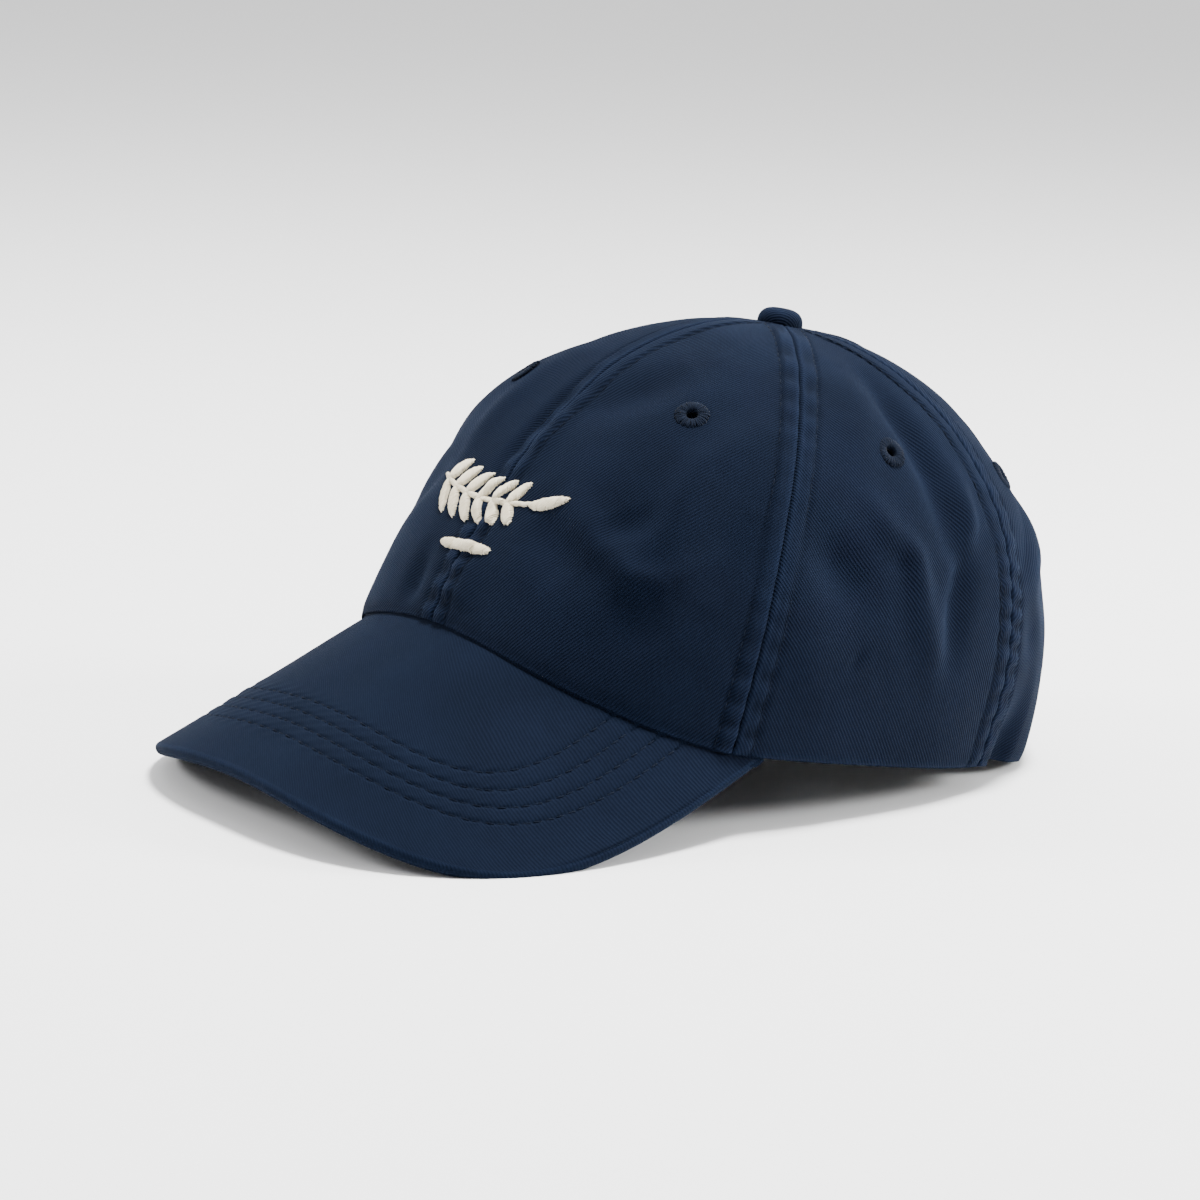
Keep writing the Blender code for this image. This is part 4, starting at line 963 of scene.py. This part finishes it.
def addTapes():
    names = ["front", "front_left", "front_right", "back_left", "back_right", "back"]
    for name, seam in zip(names, seams):
        start = arch["height"] + 7 * mm if name == "back" else lowerEdge(np.array(seam))
        angle = np.array([seam])
        rises, along = arcRows(angle, riseAt(angle, start), riseNearTop(angle, trim["tapeWidth"] + 1.5 * mm),
                               np.linspace(0, 1, 110))
        base = crownForm(seam + 0 * rises, rises)
        cross = np.linspace(-1, 1, 11)
        turned = seam + cross * trim["tapeWidth"] / 2 / fromAxis(base)
        depth = crown["thickness"] + trim["gap"]
        rises = rises + 0 * turned
        ripple = 0.12 * mm * np.sin(along / mm / 5.3 + cross * 2) * (1 - cross ** 2)
        outer = onCrown(turned, rises, -depth, seam=False)
        belly = 0.15 * mm * (1 - cross ** 4)
        inner = onCrown(turned, rises, -depth - trim["tapeThickness"] + ripple - belly, seam=False)
        flat = paired(cross * trim["tapeWidth"] / 2, along)
        shellPiece("cloth_tape_" + name, restFlat(outer), restFlat(inner), "lining", uv=flat,
                   wear=(cross ** 6 * 0.7 + 0 * rises), replaces=["seam_tape_" + name])
        rows = Threads()
        for column in (1, 9):
            path = inner[:, column]
            up = -crownNormal(turned[:, column], rises[:, column])
            rows.stitches(path + up * 0.04 * mm, up, trimStitch)
        rows.piece("tape_stitches_" + name, "thread")
    # round patch under the button, between the panels and the tapes' ends
    turns = np.linspace(0, 2 * pi, 97)
    rises = riseNearTop(turns, np.linspace(trim["patchRadius"], 2.6 * mm, 12)[:, None])
    outer = onCrown(turns, rises, -crown["thickness"] - 0.03 * mm, seam=False)
    inner = onCrown(turns, rises, -crown["thickness"] - 0.25 * mm, seam=False)
    closedPiece(shellPiece("cloth_top_patch", outer, inner, "lining"))
    print("seam tapes made")


def bandDepth(angle):
    hem = crown["thickness"] + trim["tapeThickness"] + 2 * trim["gap"]
    return hem + 3.9 * mm * smooth(math.radians(127), math.radians(138), np.abs(angle))


def bandHeight(angle, level):
    return peakSeamHeight(angle) * (1 - 0.2 * level) + trim["hem"] + (trim["bandHeight"] - trim["hem"]) * level


def bandPoint(angles, levels, depth):
    rise = riseAt(angles, bandHeight(angles, levels))
    points = crownForm(angles + 0 * rise, rise)
    quiet = np.clip(1 - np.abs(levels - 0.5) * 0.4, 0, 1)
    wave = 0.35 * mm * np.sin(angles * 31 + 2 * np.sin(angles * 7)) * quiet * smooth(0, 0.3, levels)
    lift = creaseLift(points) - depth - np.abs(wave) * 0.5
    return points + crownNormal(angles + 0 * rise, rise) * lift[..., None]


def addSweatband():
    end = pi - arch["halfAngle"] - math.radians(0.5)
    angles = np.linspace(-end, end, 300)
    levels = merged([0, 0.02, 0.05, 0.12, 0.16, 0.2], np.linspace(0.25, 0.85, 10),
                    [0.9, 0.94, 0.97, 0.99, 1])[:, None]
    depth = bandDepth(angles) + 0 * levels
    edge = np.minimum(levels, 1 - levels) * trim["bandHeight"]
    half = trim["bandThickness"] / 2
    roll = rolledIn(edge, half)
    groove = 0.25 * mm * np.exp(-((levels - 0.14) / 0.02) ** 2)
    outer = bandPoint(angles, levels, depth + roll)
    inner = bandPoint(angles, levels, depth + trim["bandThickness"] - roll - groove)
    flat = paired(angles * 90 * mm, levels * trim["bandHeight"])
    wear = np.exp(-(edge / (0.9 * mm)) ** 2) * 0.8 + 0 * angles
    shellPiece("cloth_sweatband", restFlat(outer), restFlat(inner), "lining", uv=flat, wear=wear,
               replaces=["sweatband"])
    rows = Threads()
    fine = np.linspace(-end * 0.995, end * 0.995, 900)
    for level in (0.14, 0.93):
        inward = -crownNormal(fine, riseAt(fine, bandHeight(fine, level)))
        depth = bandDepth(fine) + trim["bandThickness"] - (0.2 * mm if level < 0.5 else 0)
        rows.stitches(bandPoint(fine, np.full(len(fine), level), depth) + inward * 0.02 * mm, inward, trimStitch)
    rows.piece("sweatband_stitches", "thread")
    print("sweatband made")


label = {"from": 96, "to": 114, "low": 6 * mm, "high": 25 * mm, "thickness": 0.4 * mm}


def addLabel():
    angles = np.radians(np.linspace(label["from"], label["to"], 30))
    heights = np.linspace(label["low"], label["high"], 18)[:, None]
    rise = riseAt(angles, heights)
    across = np.linspace(-1, 1, 30)
    up = np.linspace(-1, 1, 18)[:, None]
    curl = 0.25 * mm * (across ** 4) * (1 - up) / 2 + 0.1 * mm * np.sin(across * 5 + up)
    depth = bandDepth(angles) + trim["bandThickness"] + trim["gap"] + np.abs(curl) + 0.15 * mm
    base = crownForm(angles + 0 * rise, rise)
    lift = creaseLift(base)
    normal = crownNormal(angles + 0 * rise, rise)
    outer = base + normal * (lift - depth)[..., None]
    inner = base + normal * (lift - depth - label["thickness"])[..., None]
    shellPiece("cloth_label", outer, inner, "label", replaces=["care_label"])
    rows = Threads()
    rows.stitches(inner[-2], -normal[-2], trimStitch)
    rows.piece("label_stitches", "thread")
    print("label made")


# binding round the opening at the back

def archLine(away, proud, count):
    swings = np.linspace(-pi / 2, pi / 2, count)
    n = arch["squareness"]
    half = arch["halfAngle"] + away / (crown["back"] * 0.97)
    angle = pi - half * np.sign(swings) * np.abs(np.sin(swings)) ** (2 / n)
    height = (arch["height"] + away) * np.clip(np.cos(swings), 0, 1) ** (2 / n)
    rise = riseAt(angle, height)
    points = crownForm(angle, rise)
    normal = crownNormal(angle, rise)
    return points + normal * (slackLift(points) + proud)[..., None], normal


def addBinding():
    count = 150
    out = arch["bindingGap"] + arch["bindingThickness"]
    thick, wide, gap = crown["thickness"], arch["bindingWidth"], arch["bindingGap"]
    swings = np.linspace(-pi / 2, pi / 2, count)
    ripple = 0.1 * mm * np.sin(swings * 38 + 2 * np.sin(swings * 9))
    section = [(wide, gap + 0.1 * mm, 0), (wide, out - 0.05 * mm, 0.4), (wide * 0.93, out + 0.03 * mm, 1),
               (wide * 0.75, out - 0.08 * mm, 1), (wide * 0.45, out + 0.1 * mm, 1), (0, out + 0.05 * mm, 1),
               (-out * 0.72, out * 0.45, 0), (-out, -thick / 2, 0), (-out * 0.72, -thick - out * 0.45, 0),
               (0, -thick - out - 0.05 * mm, 1), (wide * 0.45, -thick - out - 0.1 * mm, 1),
               (wide * 0.75, -thick - out + 0.08 * mm, 1), (wide * 0.93, -thick - out, 1),
               (wide, -thick - out + 0.05 * mm, 0.4), (wide, -thick - gap - 0.1 * mm, 0),
               (wide * 0.4, -thick - gap, 0), (-gap, -thick - gap, 0), (-gap, gap, 0), (wide * 0.4, gap, 0)]
    rings = np.stack([archLine(away, proud + ripple * soft * math.copysign(1, proud), count)[0]
                      for away, proud, soft in section], 1)
    rings = restFlat(rings)
    sides = len(section)
    faces = tubeFaces(count, sides)
    flat = paired(runAlong(rings[:, 2])[:, None], np.arange(sides) * 0.9 * mm)
    wear = np.zeros((count, sides))
    wear[:, [5, 6, 7, 8, 9]] = 0.7
    addPiece("cloth_binding", rings, faces, "peak", uv=flat, wear=wear, replaces=["arch_binding"])
    rows = Threads()
    fine = 700
    for proud, way in ((out, 1), (-thick - out, -1)):
        path, normal = archLine(wide * 0.75, proud + 0 * np.arange(fine), fine)
        rows.stitches(path[8:-8], way * normal[8:-8], trimStitch)
    rows.piece("binding_stitches", "thread")
    print("binding made")


# strap, tab and buckle

closure = {"centre": (0, 48.1 * mm, 28.553 * mm), "lean": 11.2, "radius": 79 * mm, "thickness": 1.2 * mm,
           "height": 18 * mm, "ends": (-55 * mm, 56 * mm)}
strapStitch = {"dash": 2.4, "gap": 0.8, "radius": 0.18}


def closureMatrix():
    return Matrix.Translation(Vector(closure["centre"])) @ Matrix.Rotation(-math.radians(closure["lean"]), 4, "X")


def toClosure(points):
    matrix = np.array(closureMatrix())
    return np.asarray(points) @ matrix[:3, :3].T + matrix[:3, 3]


def addStrap():
    count = 120
    run = np.linspace(*closure["ends"], count)
    turns = run / closure["radius"]
    half, tall = closure["thickness"] / 2, closure["height"] / 2
    section = [(-half * 0.55, -tall), (half * 0.55, -tall), (half * 0.95, -tall + 0.35 * mm),
               (half, -tall + 1.2 * mm), (half * 0.72, -tall + 2.2 * mm), (half, -tall + 3.4 * mm),
               (half, 0), (half, tall - 3.4 * mm),
               (half * 0.72, tall - 2.2 * mm), (half, tall - 1.2 * mm), (half * 0.95, tall - 0.35 * mm),
               (half * 0.55, tall), (-half * 0.55, tall), (-half * 0.95, tall - 0.35 * mm), (-half, tall - 1.2 * mm),
               (-half, 0), (-half, -tall + 1.2 * mm), (-half * 0.95, -tall + 0.35 * mm)]
    rings = np.array([[((closure["radius"] + out) * math.sin(a), (closure["radius"] + out) * math.cos(a), z)
                       for out, z in section] for a in turns])
    faces = tubeFaces(count, len(section))
    flat = paired(run[:, None], np.array([z for _, z in section]))
    wear = np.array([1, 1, 1, 0.3, 0, 0, 0, 0, 0, 0.3, 1, 1, 1, 1, 0.3, 0, 0.3, 1]) * 0.8 + 0 * run[:, None]
    addPiece("cloth_strap", toClosure(rings), faces, "peak", body="strap", replaces=["strap"], uv=flat, wear=wear,
             world=True)
    rows = Threads()
    fine = np.linspace(closure["ends"][0] + 1.5 * mm, closure["ends"][1] - 1.5 * mm, 500) / closure["radius"]
    up = np.stack([np.sin(fine), np.cos(fine), 0 * fine], -1)
    turn = np.array(closureMatrix())[:3, :3]
    for z in (-tall + 2.2 * mm, tall - 2.2 * mm):
        path = up * (closure["radius"] + half * 0.75) + np.array([0, 0, z])
        rows.stitches(toClosure(path), up @ turn.T, strapStitch)
    rows.piece("strap_stitches", "thread", body="strap", world=True)
    print("strap made")


# a smoother copy of a CAD part: its corners rounded, worn paler along them
def roundedCopy(name, node, finish, body, width, angle=30):
    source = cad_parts[node]
    work = bmesh.new()
    work.from_mesh(source.data)
    bmesh.ops.remove_doubles(work, verts=work.verts, dist=0.005 * mm)
    bmesh.ops.dissolve_limit(work, angle_limit=math.radians(0.5), verts=work.verts, edges=work.edges)
    sharp = [e for e in work.edges if len(e.link_faces) == 2 and e.calc_face_angle(0) > math.radians(angle)]
    made = bmesh.ops.bevel(work, geom=sharp, offset=width, segments=3, profile=0.5, affect="EDGES",
                           clamp_overlap=True)
    bmesh.ops.triangulate(work, faces=[f for f in work.faces if len(f.verts) > 4])
    work.verts.index_update()
    worn = {v.index for face in made["faces"] if face.is_valid for v in face.verts}
    points = [tuple(v.co) for v in work.verts]
    faces = [[v.index for v in f.verts] for f in work.faces]
    wear = [1.0 if v.index in worn else 0.0 for v in work.verts]
    work.free()
    flat = np.array([(p[0], p[2]) for p in points])
    piece = addPiece(name, points, faces, finish, body=body, replaces=[node], uv=flat, wear=wear, world=True)
    piece.data.set_sharp_from_angle(angle=math.radians(40))
    return piece


def addBuckle():
    roundedCopy("cloth_tab", "strap_tab", "peak", "cap", 0.2 * mm)
    roundedCopy("metal_frame", "buckle_frame", "brass", "cap", 0.18 * mm)
    roundedCopy("metal_lever", "buckle_lever", "brass", "buckle_lever", 0.15 * mm)
    roundedCopy("metal_pin", "buckle_pin", "steel", "cap", 0.15 * mm)
    print("buckle made")


def keepParts():  # the button's metal stays as it is, in its own finish
    for node in ("button_shell", "button_rivet"):
        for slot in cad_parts[node].material_slots:
            slot.material = finishes["steel"]


addPanels()
addSeamStitches()
addPeak()
addPeakAllowance()
addButton()
addMotif()
addTapes()
addSweatband()
addLabel()
addBinding()
addStrap()
addBuckle()
keepParts()


# floor, light and camera

studio = {
    "floor": (0.9, 0.9, 0.9), "world": 1.7, "darkSide": (0.78, -0.6, -0.1),
    "lights": {"frontLeft": ((-1.0, -1.1, 0.9), 0.5, 17), "backRight": ((0.85, 1.3, 0.6), 0.5, 36),
               "top": ((0.1, 0.3, 1.6), 0.45, 86)},
    "lit": (0, 0, 60 * mm),
    "target": (0, 17.0 * mm, 66.0 * mm), "azimuth": 52.31, "elevation": 10.99, "distance": 1.1132,
    "lens": 115.4, "aim": (-22.6 * mm, -19.1 * mm), "roll": 2.0,
}


def addFloor():
    sides = 96
    points = [(0, 0, 0)]
    radii = [0.3, 0.8, 2, 6, 20]
    for r in radii:
        points += [(r * math.cos(k * 2 * pi / sides), r * math.sin(k * 2 * pi / sides), 0) for k in range(sides)]
    faces = [[0, 1 + k, 1 + (k + 1) % sides] for k in range(sides)]
    for ring in range(len(radii) - 1):
        for k in range(sides):
            a, b = 1 + ring * sides + k, 1 + ring * sides + (k + 1) % sides
            faces.append([a, a + sides, b + sides, b])
    mesh = bpy.data.meshes.new("studioFloor")
    mesh.from_pydata([(x, y, z - 0.05 * mm) for x, y, z in points], [], faces)
    g = Graph(bpy.data.materials.new("floorPaper"), Roughness=0.8, Specular_IOR_Level=0.2)
    grain = g.speckle(60, 4)
    low = tuple(c * 0.985 for c in studio["floor"])
    g.plug("Base Color", g.mix(grain, low, studio["floor"]))
    mesh.materials.append(g.material)
    floor = inScene("studioFloor", mesh)


def addLights():
    world = bpy.data.worlds.new("studioWorld")
    g = Graph(world, Strength=studio["world"])
    facing = g.node("ShaderNodeTexCoord", {}, {}, "Generated")
    toward = g.node("ShaderNodeVectorMath", {"operation": "DOT_PRODUCT"},
                    {0: facing, 1: studio["darkSide"]}, "Value")
    g.plug("Color", g.node("ShaderNodeValToRGB", {"stops": [(0.0, (1, 1, 1)), (0.45, (0.9, 0.9, 0.9)),
                                                            (0.78, (0.20, 0.20, 0.21)), (1.0, (0.10, 0.10, 0.11))]},
                           {0: toward * 0.5 + 0.5}))
    bpy.context.scene.world = world
    for name, (place, size, power) in studio["lights"].items():
        lamp = bpy.data.lights.new(name, "AREA")
        lamp.shape = "DISK"
        lamp.size = size
        lamp.energy = power
        made = inScene(name, lamp)
        made.location = place
        aim = Vector(studio["lit"]) - Vector(place)
        made.rotation_euler = aim.to_track_quat("-Z", "Y").to_euler()


def addCamera():
    azimuth, elevation = math.radians(studio["azimuth"]), math.radians(studio["elevation"])
    back = Vector((math.sin(azimuth) * math.cos(elevation), -math.cos(azimuth) * math.cos(elevation),
                   math.sin(elevation)))
    right = Vector((math.cos(azimuth), math.sin(azimuth), 0))
    up = back.cross(right)
    lens = bpy.data.cameras.new("studioCamera")
    lens.lens = studio["lens"]
    lens.sensor_width = 36
    camera = inScene("studioCamera", lens)
    over, above = studio["aim"]
    target = Vector(studio["target"])
    camera.location = target + back * studio["distance"]
    look = target + right * over + up * above - camera.location
    facing = look.to_track_quat("-Z", "Y").to_matrix().to_4x4()
    roll = Matrix.Rotation(math.radians(studio["roll"]), 4, "Z")
    camera.matrix_world = Matrix.Translation(camera.location) @ facing @ roll
    bpy.context.scene.camera = camera


addFloor()
addLights()
addCamera()
print("studio set")
